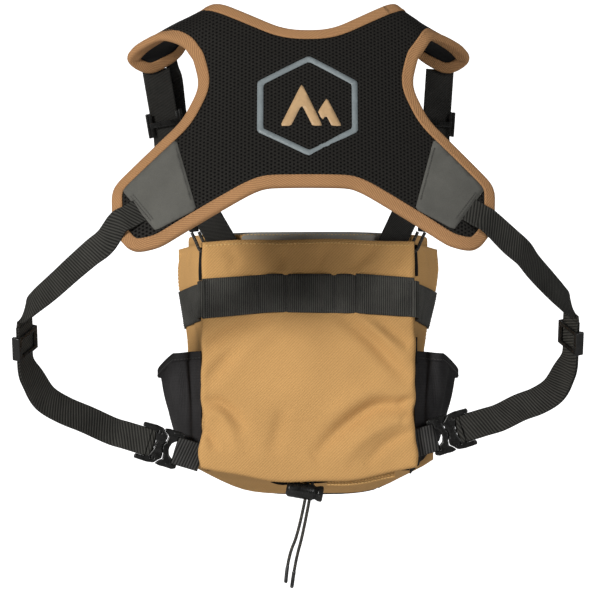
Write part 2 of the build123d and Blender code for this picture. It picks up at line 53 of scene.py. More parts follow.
MIRROR = {-1: np.array((1.0, 1.0, 1.0)), 1: np.array((-1.0, 1.0, 1.0))}


# ---- mesh helpers ---------------------------------------------------------------------------------
def vec(*v):
    return np.array(v[0] if len(v) == 1 else v, float)


def unit(v):
    v = np.asarray(v, float)
    return v / max(np.linalg.norm(v), 1e-12)


def unit_rows(rows):
    return rows / np.linalg.norm(rows, axis=1)[:, None]


def square_to(rows, travel):
    """Directions with their share along the unit travel taken out."""
    return unit_rows(rows - travel * np.sum(rows * travel, axis=1)[:, None])


def between(a, b, share):
    return a * (1 - share) + b * share


def on_side(side, point):
    """A point or direction drawn on the left, set on this side."""
    return vec(point) * MIRROR[side]


def closed(loop):
    return np.vstack([loop, loop[:1]])


def add_object(name, data):
    obj = bpy.data.objects.new(name, data)
    bpy.context.scene.collection.objects.link(obj)
    return obj


def make_mesh(name, verts, faces, uvs=None, materials=(), face_material=None, smooth=True):
    """A mesh object from millimetre points. uvs holds one (u, v) in metres for each vertex."""
    mesh = bpy.data.meshes.new(name)
    mesh.from_pydata([tuple(float(c) * MM for c in v) for v in verts], [], [tuple(f) for f in faces])
    if uvs is not None:
        layer = mesh.uv_layers.new(name="UVMap")
        corner_vertex = np.zeros(len(mesh.loops), int)
        mesh.loops.foreach_get("vertex_index", corner_vertex)
        layer.data.foreach_set("uv", np.asarray(uvs, float)[corner_vertex].ravel())
    for material in materials:
        mesh.materials.append(material)
    if face_material is not None:
        mesh.polygons.foreach_set("material_index", face_material)
    mesh.polygons.foreach_set("use_smooth", [smooth] * len(mesh.polygons))
    mesh.update()
    return add_object(name, mesh)


def place(obj, body, slot, *nodes):
    """The piece rides on a body and stands for these CAD nodes, which it hides. slot is not used."""
    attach(obj, body)
    if nodes:
        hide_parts(*nodes)
    return obj


def left_only(side, node):
    """The two pieces of a pair share this node, and the left one stands for it."""
    return [node] if side < 0 else []


def outward_normals(obj):
    work = bmesh.new()
    work.from_mesh(obj.data)
    bmesh.ops.recalc_face_normals(work, faces=work.faces)
    work.to_mesh(obj.data)
    work.free()
    return obj


def apply_modifiers(obj):
    """The object's evaluated mesh becomes its own mesh."""
    graph = bpy.context.evaluated_depsgraph_get()
    mesh = bpy.data.meshes.new_from_object(obj.evaluated_get(graph))
    obj.modifiers.clear()
    obj.data = mesh
    return obj


def merged(parts):
    """Several (verts, faces) lists as one."""
    verts, faces = [], []
    for part_verts, part_faces in parts:
        base = len(verts)
        verts.extend(part_verts)
        faces.extend([tuple(i + base for i in f) for f in part_faces])
    return verts, faces


def sharpen(obj):
    obj.data.polygons.foreach_set("use_smooth", [True] * len(obj.data.polygons))
    obj.data.set_sharp_from_angle(angle=SHARP_ANGLE)
    return obj


def join_parts(name, parts, material):
    """Several (verts, faces) lists as one mesh with sharp edges kept by angle."""
    return sharpen(outward_normals(make_mesh(name, *merged(parts), materials=[material])))


def grid_faces(rows, columns, wrap_rows=False, wrap_columns=False, base=0):
    faces = []
    for i in range(rows if wrap_rows else rows - 1):
        for j in range(columns if wrap_columns else columns - 1):
            a, b = (i + 1) % rows, (j + 1) % columns
            quad = (i * columns + j, i * columns + b, a * columns + b, a * columns + j)
            faces.append(tuple(base + k for k in quad))
    return faces


def tube_faces(rows, sides):
    """Faces of a tube with closed ends."""
    ends = [tuple(range(sides)), tuple(range((rows - 1) * sides, rows * sides))]
    return grid_faces(rows, sides, False, True) + ends


def pillow_faces(rows, columns):
    """Faces of a grid and of a second one behind it, closed round their common rim."""
    base = rows * columns
    faces = grid_faces(rows, columns) + [tuple(reversed(f)) for f in grid_faces(rows, columns, base=base)]
    rim = list(range(columns)) + [i * columns + columns - 1 for i in range(1, rows)]
    rim += [(rows - 1) * columns + j for j in range(columns - 2, -1, -1)]
    rim += [i * columns for i in range(rows - 2, 0, -1)]
    return faces + [(rim[k], rim[k - 1], rim[k - 1] + base, rim[k] + base) for k in range(len(rim))]


def smooth_path(points, steps):
    """Catmull-Rom points through a list of points of any dimension, steps to each run."""
    p = [vec(q) for q in points]
    p = [2 * p[0] - p[1]] + p + [2 * p[-1] - p[-2]]
    out = []
    for a, b, c, d in zip(p, p[1:], p[2:], p[3:]):
        for t in np.arange(steps) / steps:
            bends = (2 * a - 5 * b + 4 * c - d) * t**2 + (3 * b - 3 * c + d - a) * t**3
            out.append(0.5 * (2 * b + (c - a) * t + bends))
    return np.array(out + [p[-2]])


def along(points):
    """Running length at each point."""
    steps = np.linalg.norm(np.diff(points, axis=0), axis=1)
    return np.concatenate([[0], np.cumsum(steps)])


def interp_rows(where, at, rows):
    """Rows of numbers known at some lengths, read off at others."""
    return np.stack([np.interp(where, at, rows[:, k]) for k in range(rows.shape[1])], 1)


def resample(points, count):
    at = along(points)
    return interp_rows(np.linspace(0, at[-1], count), at, points)


def even(points, spacing):
    points = np.asarray(points, float)
    return resample(points, max(2, int(round(along(points)[-1] / spacing)) + 1))


def tree_of(points):
    """A search tree of flat or solid points."""
    tree = kdtree.KDTree(len(points))
    for i, p in enumerate(points):
        tree.insert((*p, 0)[:3], i)
    tree.balance()
    return tree


def waves(*args):
    """Smooth uneven numbers between about -1 and 1, the same on each run."""
    total = 0
    for k, a in enumerate(args):
        total = total + np.sin(a * (0.9 + 0.37 * k) + 1.7 * k) * np.cos(a * 0.41 + 0.6 + k)
    return total / max(len(args), 1)


# ---- strips, bars and plates ----------------------------------------------------------------------
def sweep_profile(name, centres, across, outward, profile, material, ring=False):
    """A closed profile, points (across, outward) in mm, swept along centres with the given directions."""
    rows, columns = len(centres), len(profile)
    profile = np.asarray(profile, float)
    girth = along(closed(profile))[:-1]
    verts = centres[:, None] + across[:, None] * profile[None, :, :1]
    verts = verts + outward[:, None] * profile[None, :, 1:]
    uvs = [(run * MM, reach * MM) for run in along(centres) for reach in girth]
    faces = grid_faces(rows, columns, True, True) if ring else tube_faces(rows, columns)
    return outward_normals(make_mesh(name, verts.reshape(-1, 3), faces, uvs, [material]))


def strap_profile(wide, thick):
    """Flat webbing with round selvedges, which stand a little proud."""
    half, h = wide / 2, thick / 2
    top = [(-half + 0.5, h * 1.02), (-half + 1.6, h * 1.08), (-half + 2.6, h * 0.9)]
    top += [(x, h * 0.92) for x in (-half * 0.5, 0, half * 0.5)]
    top += [(half - 2.6, h * 0.9), (half - 1.6, h * 1.08), (half - 0.5, h * 1.02)]
    foot = [(x, -y) for x, y in reversed(top)]
    return top + [(half, 0)] + foot + [(-half, 0)]


def strap(name, stations, wide, thick, material, steps=8, wobble=0.0):
    """Webbing through (centre, outward) stations, its width square to both."""
    centres = smooth_path([s[0] for s in stations], steps)
    outward = smooth_path([unit(s[1]) for s in stations], steps)
    travel = np.gradient(centres, axis=0)
    across = unit_rows(np.cross(travel, outward))
    outward = unit_rows(np.cross(across, travel))
    fade = np.sin(np.linspace(0, math.pi, len(centres)))[:, None]
    centres = centres + outward * wobble * fade * waves(along(centres) / 11)[:, None]
    return sweep_profile(name, centres, across, outward, strap_profile(wide, thick), material)


def rounded_box(low, high, bevel=0.6, segments=2):
    """(verts, faces) of a box with rounded edges."""
    work = bmesh.new()
    bmesh.ops.create_cube(work, size=1)
    low, high = vec(low), vec(high)
    for v in work.verts:
        v.co = Vector((low + high) / 2 + vec(v.co) * (high - low))
    bmesh.ops.bevel(work, geom=work.edges[:], offset=bevel, segments=segments, affect="EDGES", profile=0.6)
    verts = [vec(v.co) for v in work.verts]
    faces = [[v.index for v in f.verts] for f in work.faces]
    work.free()
    return verts, faces


def round_corners(points, radius, steps=5):
    """A closed outline with each corner turned into an arc. radius is one number or one for each corner."""
    out = []
    count = len(points)
    radii = radius if hasattr(radius, "__len__") else [radius] * count
    for i in range(count):
        p, a, b = vec(points[i]), vec(points[i - 1]), vec(points[(i + 1) % count])
        r = radii[i]
        if r <= 0:
            out.append(p)
            continue
        u, w = unit(a - p), unit(b - p)
        half = math.acos(np.clip(u @ w, -1, 1)) / 2
        reach = min(r / math.tan(half), 0.48 * np.linalg.norm(a - p), 0.48 * np.linalg.norm(b - p))
        r = reach * math.tan(half)
        centre = p + unit(u + w) * math.hypot(r, reach)
        start, end = p + u * reach - centre, p + w * reach - centre
        turn = math.atan2(start[0] * end[1] - start[1] * end[0], start @ end)
        for k in range(steps + 1):
            a_k = turn * k / steps
            c, s = math.cos(a_k), math.sin(a_k)
            out.append(centre + vec(c * start[0] - s * start[1], s * start[0] + c * start[1]))
    return np.array(out)


def plate(outlines, low, high, bevel=0.6):
    """(verts, faces) of a flat moulding in XY with holes and rounded rims, between two heights."""
    curve = bpy.data.curves.new("plate", "CURVE")
    curve.dimensions = "2D"
    curve.fill_mode = "BOTH"
    for outline in outlines:
        spline = curve.splines.new("POLY")
        spline.points.add(len(outline) - 1)
        for point, (x, y) in zip(spline.points, outline):
            point.co = (x, y, 0, 1)
        spline.use_cyclic_u = True
    curve.extrude = (high - low) / 2 - bevel
    curve.bevel_depth = bevel
    curve.bevel_resolution = 2
    curve.offset = -bevel
    obj = add_object("plate", curve)
    mesh = bpy.data.meshes.new_from_object(obj.evaluated_get(bpy.context.evaluated_depsgraph_get()))
    verts = [vec(v.co) + vec(0, 0, (low + high) / 2) for v in mesh.vertices]
    faces = [list(p.vertices) for p in mesh.polygons]
    bpy.data.objects.remove(obj)
    bpy.data.curves.remove(curve)
    return verts, faces


def moved(part, origin, x_axis, y_axis, z_axis, mirror=False):
    """A part drawn in its own frame, set into the scene. mirror flips it to the other side."""
    verts, faces = part
    place_matrix = np.stack([vec(x_axis), vec(y_axis), vec(z_axis)])
    out = np.asarray(verts) @ place_matrix + vec(origin)
    if mirror:
        out = out * vec(-1, 1, 1)
    return list(out), faces


def full_turn(sides):
    return [2 * math.pi * k / sides for k in range(sides)]


def frames_along(points, ways, side):
    """(centre, side, other) at each point: directions square to the way, turned as little as can be."""
    for centre, way in zip(points, ways):
        side = unit(side - unit(way) * (side @ unit(way)))
        yield centre, side, np.cross(unit(way), side)


def tube_part(points, radius, sides=10, end_scale=0.55):
    """(verts, faces) of a round bar along points, its ends drawn in. radius may differ by point."""
    points = np.asarray(points, float)
    radii = np.broadcast_to(np.asarray(radius, float), len(points)).copy()
    ways = np.gradient(points, axis=0)
    first, last = [unit(ways[k]) * radii[k] * 0.4 for k in (0, -1)]
    centres = [points[0] - first, *points, points[-1] + last]
    radii = [radii[0] * end_scale, *radii, radii[-1] * end_scale]
    start = unit(np.cross(ways[0], (0.31, 0.87, 0.39)))
    verts = []
    for (centre, side, other), r in zip(frames_along(centres, [ways[0], *ways, ways[-1]], start), radii):
        verts += [centre + (side * math.cos(a) + other * math.sin(a)) * r for a in full_turn(sides)]
    return verts, tube_faces(len(centres), sides)


STITCH_SHARES = np.array([0, 0.18, 0.5, 0.82, 1])  # places along one stitch, their rise and their girth
STITCH_RISE = np.array([-0.5, 0.3, 0.55, 0.3, -0.5])[:, None]
STITCH_GIRTH = vec(0.6, 1, 1.05, 1, 0.6)


def stitches(name, body, slot, paths, material, pitch, length, radius, lift=0.0):
    """Rows of thread on a body. Each path is (points, outward directions) on the cloth that is sewn."""
    parts = []
    for points, outward in paths:
        points, outward = np.asarray(points, float), np.asarray(outward, float)
        at = along(points)
        for start in np.arange(pitch * 0.3, at[-1] - length, pitch):
            where = start + STITCH_SHARES * length
            line, out = interp_rows(where, at, points), interp_rows(where, at, outward)
            line = line + out * (STITCH_RISE * radius + lift)
            parts.append(tube_part(line, radius * STITCH_GIRTH, sides=6))
    return place(outward_normals(make_mesh(name, *merged(parts), materials=[material])), body, slot)


# ---- materials ------------------------------------------------------------------------------------
class Nodes:
    """A short way to write a node tree. Each call returns a socket, and plain numbers are allowed."""

    def __init__(self, name, roughness, specular=0.4, sheen=0.0, sheen_roughness=0.5):
        self.material = bpy.data.materials.new(name)
        self.material.use_nodes = True
        self.tree = self.material.node_tree
        self.shader = self.tree.nodes["Principled BSDF"]
        self.set("Roughness", roughness)
        self.set("Specular IOR Level", specular)
        self.set("Sheen Weight", sheen)
        self.set("Sheen Roughness", sheen_roughness)
        self.set("Sheen Tint", (0.35, 0.33, 0.30, 1))

    def set(self, socket, value):
        self.shader.inputs[socket].default_value = value

    def feed(self, target, value):
        if isinstance(value, bpy.types.NodeSocket):
            self.tree.links.new(value, target)
        elif isinstance(value, tuple) and len(target.default_value) == 4 and len(value) == 3:
            target.default_value = (*value, 1)
        else:
            target.default_value = value

    def node(self, kind, output=0, inputs=(), **settings):
        made = self.tree.nodes.new(kind)
        for key, value in settings.items():
            setattr(made, key, value)
        for index, value in enumerate(inputs):
            if value is not None:
                self.feed(made.inputs[index], value)
        return made.outputs[output]

    def math(self, operation, a, b=0.0, c=0.0):
        return self.node("ShaderNodeMath", inputs=(a, b, c), operation=operation)

    def vector(self, operation, a, b=(0, 0, 0), output=0):
        return self.node("ShaderNodeVectorMath", output=output, inputs=(a, b), operation=operation)

    def uv(self):
        return self.node("ShaderNodeTexCoord", output=2)

    def place(self):
        return self.node("ShaderNodeTexCoord", output=3)

    def split(self, vector):
        made = self.tree.nodes.new("ShaderNodeSeparateXYZ")
        self.feed(made.inputs[0], vector)
        return made.outputs[0], made.outputs[1], made.outputs[2]

    def noise(self, vector, scale, detail=2.0, roughness=0.5):
        made = self.tree.nodes.new("ShaderNodeTexNoise")
        self.feed(made.inputs["Vector"], vector)
        made.inputs["Scale"].default_value = scale
        made.inputs["Detail"].default_value = detail
        made.inputs["Roughness"].default_value = roughness
        return made.outputs[0]

    def range(self, value, low, high, new_low=0.0, new_high=1.0):
        return self.node("ShaderNodeMapRange", inputs=(value, low, high, new_low, new_high))

    def mix(self, factor, a, b):
        made = self.tree.nodes.new("ShaderNodeMix")
        made.data_type = "RGBA"
        self.feed(made.inputs[0], factor)
        self.feed(made.inputs[6], a)
        self.feed(made.inputs[7], b)
        return made.outputs[2]

    def sway(self, noise, amount):
        """Noise as an uneven share between about -amount and amount."""
        return self.range(noise, 0.3, 0.7, -amount, amount)

    def dye(self, colour, shade, low, high, dark, light):
        """The colour from dark times to light times itself, as the shade goes from low to high."""
        return self.mix(self.range(shade, low, high), tint(colour, dark), tint(colour, light))

    def wave(self, value, pitch):
        """0 to 1 and back, once in each pitch metres."""
        turn = self.math("SINE", self.math("MULTIPLY", value, 2 * math.pi / pitch))
        return self.math("MULTIPLY_ADD", turn, 0.5, 0.5)

    def bump(self, height, distance, strength=1.0, normal=None):
        made = self.tree.nodes.new("ShaderNodeBump")
        made.inputs["Strength"].default_value = strength
        made.inputs["Distance"].default_value = distance
        self.feed(made.inputs["Height"], height)
        if normal is not None:
            self.feed(made.inputs["Normal"], normal)
        return made.outputs[0]

    def finish(self, colour, normal=None, roughness=None):
        self.feed(self.shader.inputs["Base Color"], colour)
        if normal is not None:
            self.feed(self.shader.inputs["Normal"], normal)
        if roughness is not None:
            self.feed(self.shader.inputs["Roughness"], roughness)
        return self.material


def tint(colour, gain):
    return tuple(c * gain for c in colour)


def twill(name, colour, pitch, slope=1.0, sheen=0.1, depth=0.00016, contrast=0.22):
    """Diagonal ribs of twill over fine threads, with soft patches of wear and dye."""
    n = Nodes(name, 0.9, 0.12, sheen, 0.45)
    u, v, _ = n.split(n.uv())
    diagonal = n.wave(n.math("MULTIPLY_ADD", v, -slope, u), pitch * math.hypot(1, slope))
    thread = n.wave(n.math("MULTIPLY_ADD", u, slope, v), pitch * 0.62 * math.hypot(1, slope))
    weave = n.math("MULTIPLY_ADD", thread, 0.3, n.math("MULTIPLY", diagonal, 0.7))
    slub = n.noise(n.uv(), 900, 2, 0.6)
    patches = n.noise(n.place(), 14, 4, 0.55)
    shade = n.math("MULTIPLY_ADD", n.math("SUBTRACT", weave, 0.5), contrast, 0.0)
    shade = n.math("ADD", shade, n.sway(slub, 0.07))
    shade = n.math("ADD", shade, n.sway(patches, 0.06))
    fine = n.dye(colour, shade, -0.25, 0.25, 0.68, 1.32)
    height = n.math("MULTIPLY_ADD", slub, 0.25, weave)
    normal = n.bump(height, depth)
    normal = n.bump(n.noise(n.place(), 60, 3), 0.0006, 0.5, normal)
    return n.finish(fine, normal, n.range(weave, 0, 1, 0.98, 0.86))


def webbing(name, colour, rib=0.0028, slope=-0.45):
    """Woven nylon webbing: ribs across the strap, fine threads along it."""
    n = Nodes(name, 0.7, 0.14, 0.03, 0.4)
    u, v, _ = n.split(n.uv())
    ribs = n.wave(n.math("MULTIPLY_ADD", v, slope, u), rib)
    threads = n.wave(v, 0.0009)
    twist = n.wave(n.math("MULTIPLY_ADD", v, -1.3, u), 0.0011)
    weave = n.math("MULTIPLY_ADD", threads, 0.25, n.math("MULTIPLY", ribs, 0.6))
    weave = n.math("MULTIPLY_ADD", twist, 0.15, weave)
    fading = n.noise(n.place(), 30, 3, 0.6)
    fuzz = n.noise(n.uv(), 1500, 2, 0.7)
    shade = n.math("ADD", weave, n.sway(fading, 0.12))
    shade = n.math("ADD", shade, n.sway(fuzz, 0.14))
    fine = n.dye(colour, shade, 0.15, 0.95, 0.25, 3.6)
    normal = n.bump(weave, 0.0005)
    return n.finish(fine, normal, n.range(weave, 0, 1, 0.72, 0.5))


def spacer_mesh(name, colour):
    """Three-layer spacer mesh: a honeycomb of open cells painted near black as shade, with yarn between them
    that carries painted glints.
    """
    n = Nodes(name, 0.75, 0.14, 0.02, 0.35)
    pitch = 0.0036
    uv = n.uv()
    cell = (pitch * math.sqrt(3), pitch, 1.0)
    nearest = None
    for shift in (0.0, 0.5):
        grid = n.vector("ADD", n.vector("DIVIDE", uv, cell), (shift, shift, 0))
        inside = n.vector("SUBTRACT", n.vector("FRACTION", grid), (0.5, 0.5, 0))
        offset = n.vector("MULTIPLY", inside, (cell[0], cell[1], 0))
        reach = n.vector("LENGTH", offset, output=1)
        nearest = reach if nearest is None else n.math("MINIMUM", nearest, reach)
    uneven = n.math("MULTIPLY_ADD", n.noise(uv, 700, 2), 0.0006, nearest)
    open_cell = n.range(uneven, 0.0009, 0.0015, 1.0, 0.0)
    yarn = n.noise(n.vector("MULTIPLY", uv, (1.0, 2.4, 1.0)), 1400, 3, 0.7)
    ribs = n.wave(n.math("MULTIPLY_ADD", n.split(uv)[1], 1.732, n.split(uv)[0]), pitch * math.sqrt(3))
    # Painted highlight: flecks of the yarn are painted up to eleven times lighter, as glints.
    glint = n.range(yarn, 0.46, 0.72, 0.0, 1.0)
    yarn_with_painted_glints = n.mix(glint, colour, tint(colour, 11.0))
    yarn_with_painted_glints = n.mix(n.math("MULTIPLY", ribs, 0.35), yarn_with_painted_glints, tint(colour, 4.0))
    # Painted shade: the open cells are painted near black, as the shade inside the holes.
    fine = n.mix(open_cell, yarn_with_painted_glints, tint(colour, 0.12))
    height = n.math("MULTIPLY_ADD", open_cell, -1.0, n.math("MULTIPLY", yarn, 0.25))
    normal = n.bump(height, 0.0009)
    return n.finish(fine, normal, n.range(open_cell, 0, 1, 0.55, 0.95))


def cloth(name, colour, grain=1600, sheen=0.08, roughness=0.85, depth=0.0002, contrast=0.5):
    """Brushed, coated or knitted cloth without a clear rib."""
    n = Nodes(name, roughness, 0.15, sheen, 0.5)
    place_at = n.place()
    pile = n.noise(place_at, grain, 3, 0.65)
    patches = n.noise(place_at, 35, 4, 0.6)
    shade = n.math("MULTIPLY_ADD", patches, 0.6, n.math("MULTIPLY", pile, 0.4))
    fine = n.mix(n.range(shade, 0.3, 0.7), tint(colour, 1 - contrast), tint(colour, 1 + contrast))
    normal = n.bump(pile, depth)
    return n.finish(fine, normal, n.range(patches, 0.3, 0.7, roughness - 0.08, min(1.0, roughness + 0.08)))


def knit(name, colour):
    """Stretch knit: fine wales along the height."""
    n = Nodes(name, 0.85, 0.14, 0.05, 0.45)
    u, v, _ = n.split(n.uv())
    wales = n.wave(u, 0.0011)
    courses = n.wave(v, 0.0014)
    pile = n.noise(n.place(), 1300, 2, 0.6)
    patches = n.noise(n.place(), 40, 3, 0.6)
    weave = n.math("MULTIPLY_ADD", wales, 0.5, n.math("MULTIPLY", courses, 0.3))
    shade = n.math("ADD", weave, n.sway(pile, 0.2))
    shade = n.math("ADD", shade, n.sway(patches, 0.15))
    fine = n.dye(colour, shade, 0.0, 0.9, 0.55, 1.5)
    return n.finish(fine, n.bump(weave, 0.0002))


def plastic(name, colour, roughness=0.38):
    """Moulded acetal: a fine spark-eroded grain, rubbed smooth and paler along its edges."""
    n = Nodes(name, roughness, 0.32)
    place_at = n.place()
    grain = n.noise(place_at, 2600, 2, 0.6)
    rub = n.noise(place_at, 160, 4, 0.65)
    edge = n.range(n.node("ShaderNodeNewGeometry", output=7), 0.5, 0.62)
    wear = n.math("MULTIPLY", edge, n.range(rub, 0.4, 0.65))
    fine = n.dye(colour, rub, 0.3, 0.7, 0.8, 1.25)
    fine = n.mix(wear, fine, tint(colour, 2.6))
    return n.finish(fine, n.bump(grain, 0.00006), n.range(rub, 0.3, 0.7, roughness - 0.08, roughness + 0.12))


def braid(name, colour, fleck=None):
    """Braided cord sheath: two sets of strands round it, with a fleck in some."""
    n = Nodes(name, 0.65, 0.35, 0.2, 0.4)
    u, v, _ = n.split(n.uv())
    one = n.wave(n.math("MULTIPLY_ADD", v, 4.0, u), 1.0)
    two = n.wave(n.math("MULTIPLY_ADD", v, -4.0, u), 1.0)
    weave = n.math("MAXIMUM", one, two)
    pile = n.noise(n.place(), 1900, 2, 0.7)
    shade = n.math("ADD", n.math("MULTIPLY", weave, 0.7), n.range(pile, 0.3, 0.7, -0.2, 0.3))
    fine = n.dye(colour, shade, 0.2, 1.0, 0.4, 2.0)
    if fleck:
        fine = n.mix(n.range(n.noise(n.place(), 700, 1), 0.62, 0.68), fine, fleck)
    return n.finish(fine, n.bump(n.math("ADD", weave, n.math("MULTIPLY", pile, 0.4)), 0.0002))


def thread(name, colour):
    n = Nodes(name, 0.55, 0.4, 0.3, 0.4)
    twist = n.wave(n.math("ADD", *n.split(n.place())[:2]), 0.0006)
    spun = n.noise(n.place(), 900, 2, 0.6)
    shade = n.math("MULTIPLY_ADD", twist, 0.4, spun)
    return n.finish(n.dye(colour, shade, 0.3, 1.0, 0.7, 1.2), n.bump(twist, 0.0001))


def printed(name, colour):
    """A printed film over mesh: flat colour that sinks a little into the cells below and cracks finely."""
    n = Nodes(name, 0.5, 0.4)
    place_at = n.place()
    cracks = n.noise(place_at, 420, 4, 0.7)
    patches = n.noise(place_at, 60, 3, 0.5)
    shade = n.math("MULTIPLY_ADD", cracks, 0.5, n.math("MULTIPLY", patches, 0.5))
    fine = n.dye(colour, shade, 0.3, 0.7, 0.82, 1.12)
    return n.finish(fine, n.bump(cracks, 0.00018), n.range(patches, 0.3, 0.7, 0.42, 0.6))


TAN = (0.50, 0.285, 0.107)
BINDING = (0.345, 0.185, 0.085)
TWILL = twill("tan_twill", TAN, 0.0020)
TAPE = twill("tan_binding", BINDING, 0.0017, slope=1.7, contrast=0.50, sheen=0.05, depth=0.0003)
MESH = spacer_mesh("black_mesh", (0.0040, 0.0037, 0.0032))
LINING = cloth("black_lining", (0.010, 0.010, 0.0105), roughness=0.95, sheen=0.15, contrast=0.4)
PATCH_CLOTH = cloth("grey_patch", (0.094, 0.093, 0.084), grain=1100, contrast=0.22, depth=0.00012)
LID_GREY = cloth("grey_lid", (0.30, 0.285, 0.250), grain=1100, contrast=0.25)
WEB = webbing("black_webbing", (0.0150, 0.0147, 0.0130))
WEB_TAB = webbing("black_webbing_tab", (0.020, 0.0197, 0.0190), 0.0026, 0.15)
# Painted light: the band webbing is a copy of the black webbing painted twice as light, to lift the yoke's
# shadow off the back band.
WEB_BAND_PAINTED_LIGHT = webbing("black_webbing_band_painted_light", (0.030, 0.0295, 0.0265), 0.0017, 0.0)
WEB_FINE = webbing("black_webbing_fine", (0.0125, 0.0122, 0.0112), 0.0014, 0.5)
KNIT = knit("black_stretch", (0.026, 0.025, 0.026))
PLASTIC = plastic("black_plastic", (0.0050, 0.0050, 0.0048), 0.26)
SHEATH = braid("black_cord", (0.022, 0.021, 0.019), (0.12, 0.10, 0.07))
TIP = plastic("sealed_tip", (0.020, 0.020, 0.021), 0.3)
GREY_PRINT = printed("grey_print", (0.180, 0.210, 0.222))
TAN_PRINT = printed("tan_print", (0.46, 0.30, 0.155))
YELLOW_THREAD = thread("yellow_thread", (0.75, 0.50, 0.20))
TAN_THREAD = thread("tan_thread", (0.42, 0.21, 0.09))
DARK_THREAD = thread("dark_thread", (0.045, 0.044, 0.042))


# ---- yoke surface ---------------------------------------------------------------------------------
# The yoke is drawn flat, x across the back and y up it, and bent round the wearer's back.
# It leans with its top towards the shoulders. The right half is drawn a little narrower, as it hangs.
LEAN = math.radians(27)
YOKE_ORIGIN = vec(0, -60, -67)
YOKE_UP = vec(0, math.sin(LEAN), math.cos(LEAN))
YOKE_OUT = vec(0, -math.cos(LEAN), math.sin(LEAN))
BEND = 550.0
PAD_THICK = 7.5
HALF_STRETCH = {-1: 1.03, 1: 0.97}
YOKE_OUTLINE = [  # left half from the neck to the hem: x, y, corner radius
    (-20, 77, 60), (-68, 104, 0), (-98, 56, 0), (-91, 26, 35), (-106, -8, 60), (-165, -66, 18),
    (-163, -106, 14), (-147, -130, 13), (-124, -127, 20), (-52, -84, 30), (-38, -77, 25),
]
NECK_CORNER, ARM_CORNER = (-68, 104), (-98, 56)
ARM_EDGES = [  # neck side and arm side of the left arm, from the yoke to its front end
    ((-82, -1, 27), (-109, -20, -11)), ((-91, 10, 25), (-120, -13, -4)), ((-98, 24, 18), (-132, -3, 0)),
    ((-105, 37, 8), (-144, 11, -3)), ((-111, 47, -3), (-156, 27, -9)), ((-117, 52, -15), (-163, 40, -19)),
    ((-127, 54, -28), (-159, 46, -31)),
]
ARM_TUCK = {-1: 0.0, 1: 18.0}
FOLD_STATION = 3
YOKE_LOW, YOKE_HIGH = (-176, -136), (176, 110)  # a box round the flat outline
GRID = 4.0  # spacing of the flat points, mm
ARM_ROWS, ARM_COLUMNS = 56, 15
ROUND_FROM = 0.80  # the front end of an arm is rounded from here on
CAP_ROWS = 9
RIM_STEP = 2.6


def on_yoke(x, y, raised=0.0):
    """The point of the yoke's outer face at flat place (x, y), raised above it."""
    x = x * HALF_STRETCH[1 if x > 0 else -1]
    radius = BEND + raised
    angle = math.asin(x / BEND)
    local = vec(radius * math.sin(angle), 0, radius * math.cos(angle) - BEND)
    return YOKE_ORIGIN + vec(local[0], 0, 0) + YOKE_UP * y + YOKE_OUT * local[2]


def yoke_normal(x):
    angle = math.asin(x * HALF_STRETCH[1 if x > 0 else -1] / BEND)
    return vec(math.sin(angle), 0, 0) + YOKE_OUT * math.cos(angle)


def arm_lines(side):
    """Edge lines of one arm, with a first point inside the yoke so that the arm leaves it smoothly."""
    corners = [vec(*NECK_CORNER), vec(*ARM_CORNER)]
    edge = corners[1] - corners[0]
    inward = unit(vec(-edge[1], edge[0])) * 15
    lines = []
    for k, corner in enumerate(corners):
        flat = [corner + inward, corner]
        line = [on_yoke(p[0] * -side, p[1]) for p in flat]
        for i, pair in enumerate(ARM_EDGES):
            tuck = ARM_TUCK[side] * min(1, (i + 1) / FOLD_STATION)
            x, y, z = pair[k]
            line.append(vec((x + tuck) * -side, y, z))
        lines.append(smooth_path(line, 24)[24:])
    return lines


ARM_LINES = {side: arm_lines(side) for side in (-1, 1)}


def on_arm(side, t, w):
    """t runs from the yoke (0) to the front end (1), w from the neck side (0) to the arm side (1)."""
    neck, arm = ARM_LINES[side]
    at = np.clip(t, 0, 1) * (len(neck) - 1)
    i = min(int(at), len(neck) - 2)
    f = at - i
    a, b = between(neck[i], neck[i + 1], f), between(arm[i], arm[i + 1], f)
    point = between(a, b, w)
    travel = (neck[i + 1] - neck[i]) + (arm[i + 1] - arm[i])
    normal = unit(np.cross(b - a, travel)) * side
    crown = 9.0 * w * (1 - w) * math.sin(math.pi * min(1, t * 1.15)) ** 0.8
    return point + normal * crown, normal


def arm_cell(i, w):
    """Place (t, w) of row i: straight rows, then rows of a half circle at the front end."""
    if i < ARM_ROWS:
        return ROUND_FROM * i / (ARM_ROWS - 1), w
    angle = math.radians(84) * (i - ARM_ROWS + 1) / CAP_ROWS
    return ROUND_FROM + (1 - ROUND_FROM) * math.sin(angle), 0.5 + (w - 0.5) * math.cos(angle)


def yoke_loop():
    """Closed flat outline of the whole yoke, without its arms."""
    corners = YOKE_OUTLINE + [(-x, y, r) for x, y, r in reversed(YOKE_OUTLINE)]
    return round_corners([(x, y) for x, y, _ in corners], [r for _, _, r in corners], 10)


FLAT_LOOP = yoke_loop()


def flat_runs():
    """The flat outline cut at the four arm corners: (neck, left armhole to right armhole) point lists."""
    right = [(-x, y) for x, y in (ARM_CORNER, NECK_CORNER)]
    marks = [int(np.argmin(np.linalg.norm(FLAT_LOOP - vec(*corner), axis=1)))
             for corner in (NECK_CORNER, ARM_CORNER, *right)]
    neck_left, arm_left, arm_right, neck_right = marks
    body = FLAT_LOOP[arm_left:arm_right + 1]
    neck = np.vstack([FLAT_LOOP[neck_right:], FLAT_LOOP[:neck_left + 1]])
    return even(neck, 3.5), even(body, 3.5)


NECK_RUN, BODY_RUN = flat_runs()


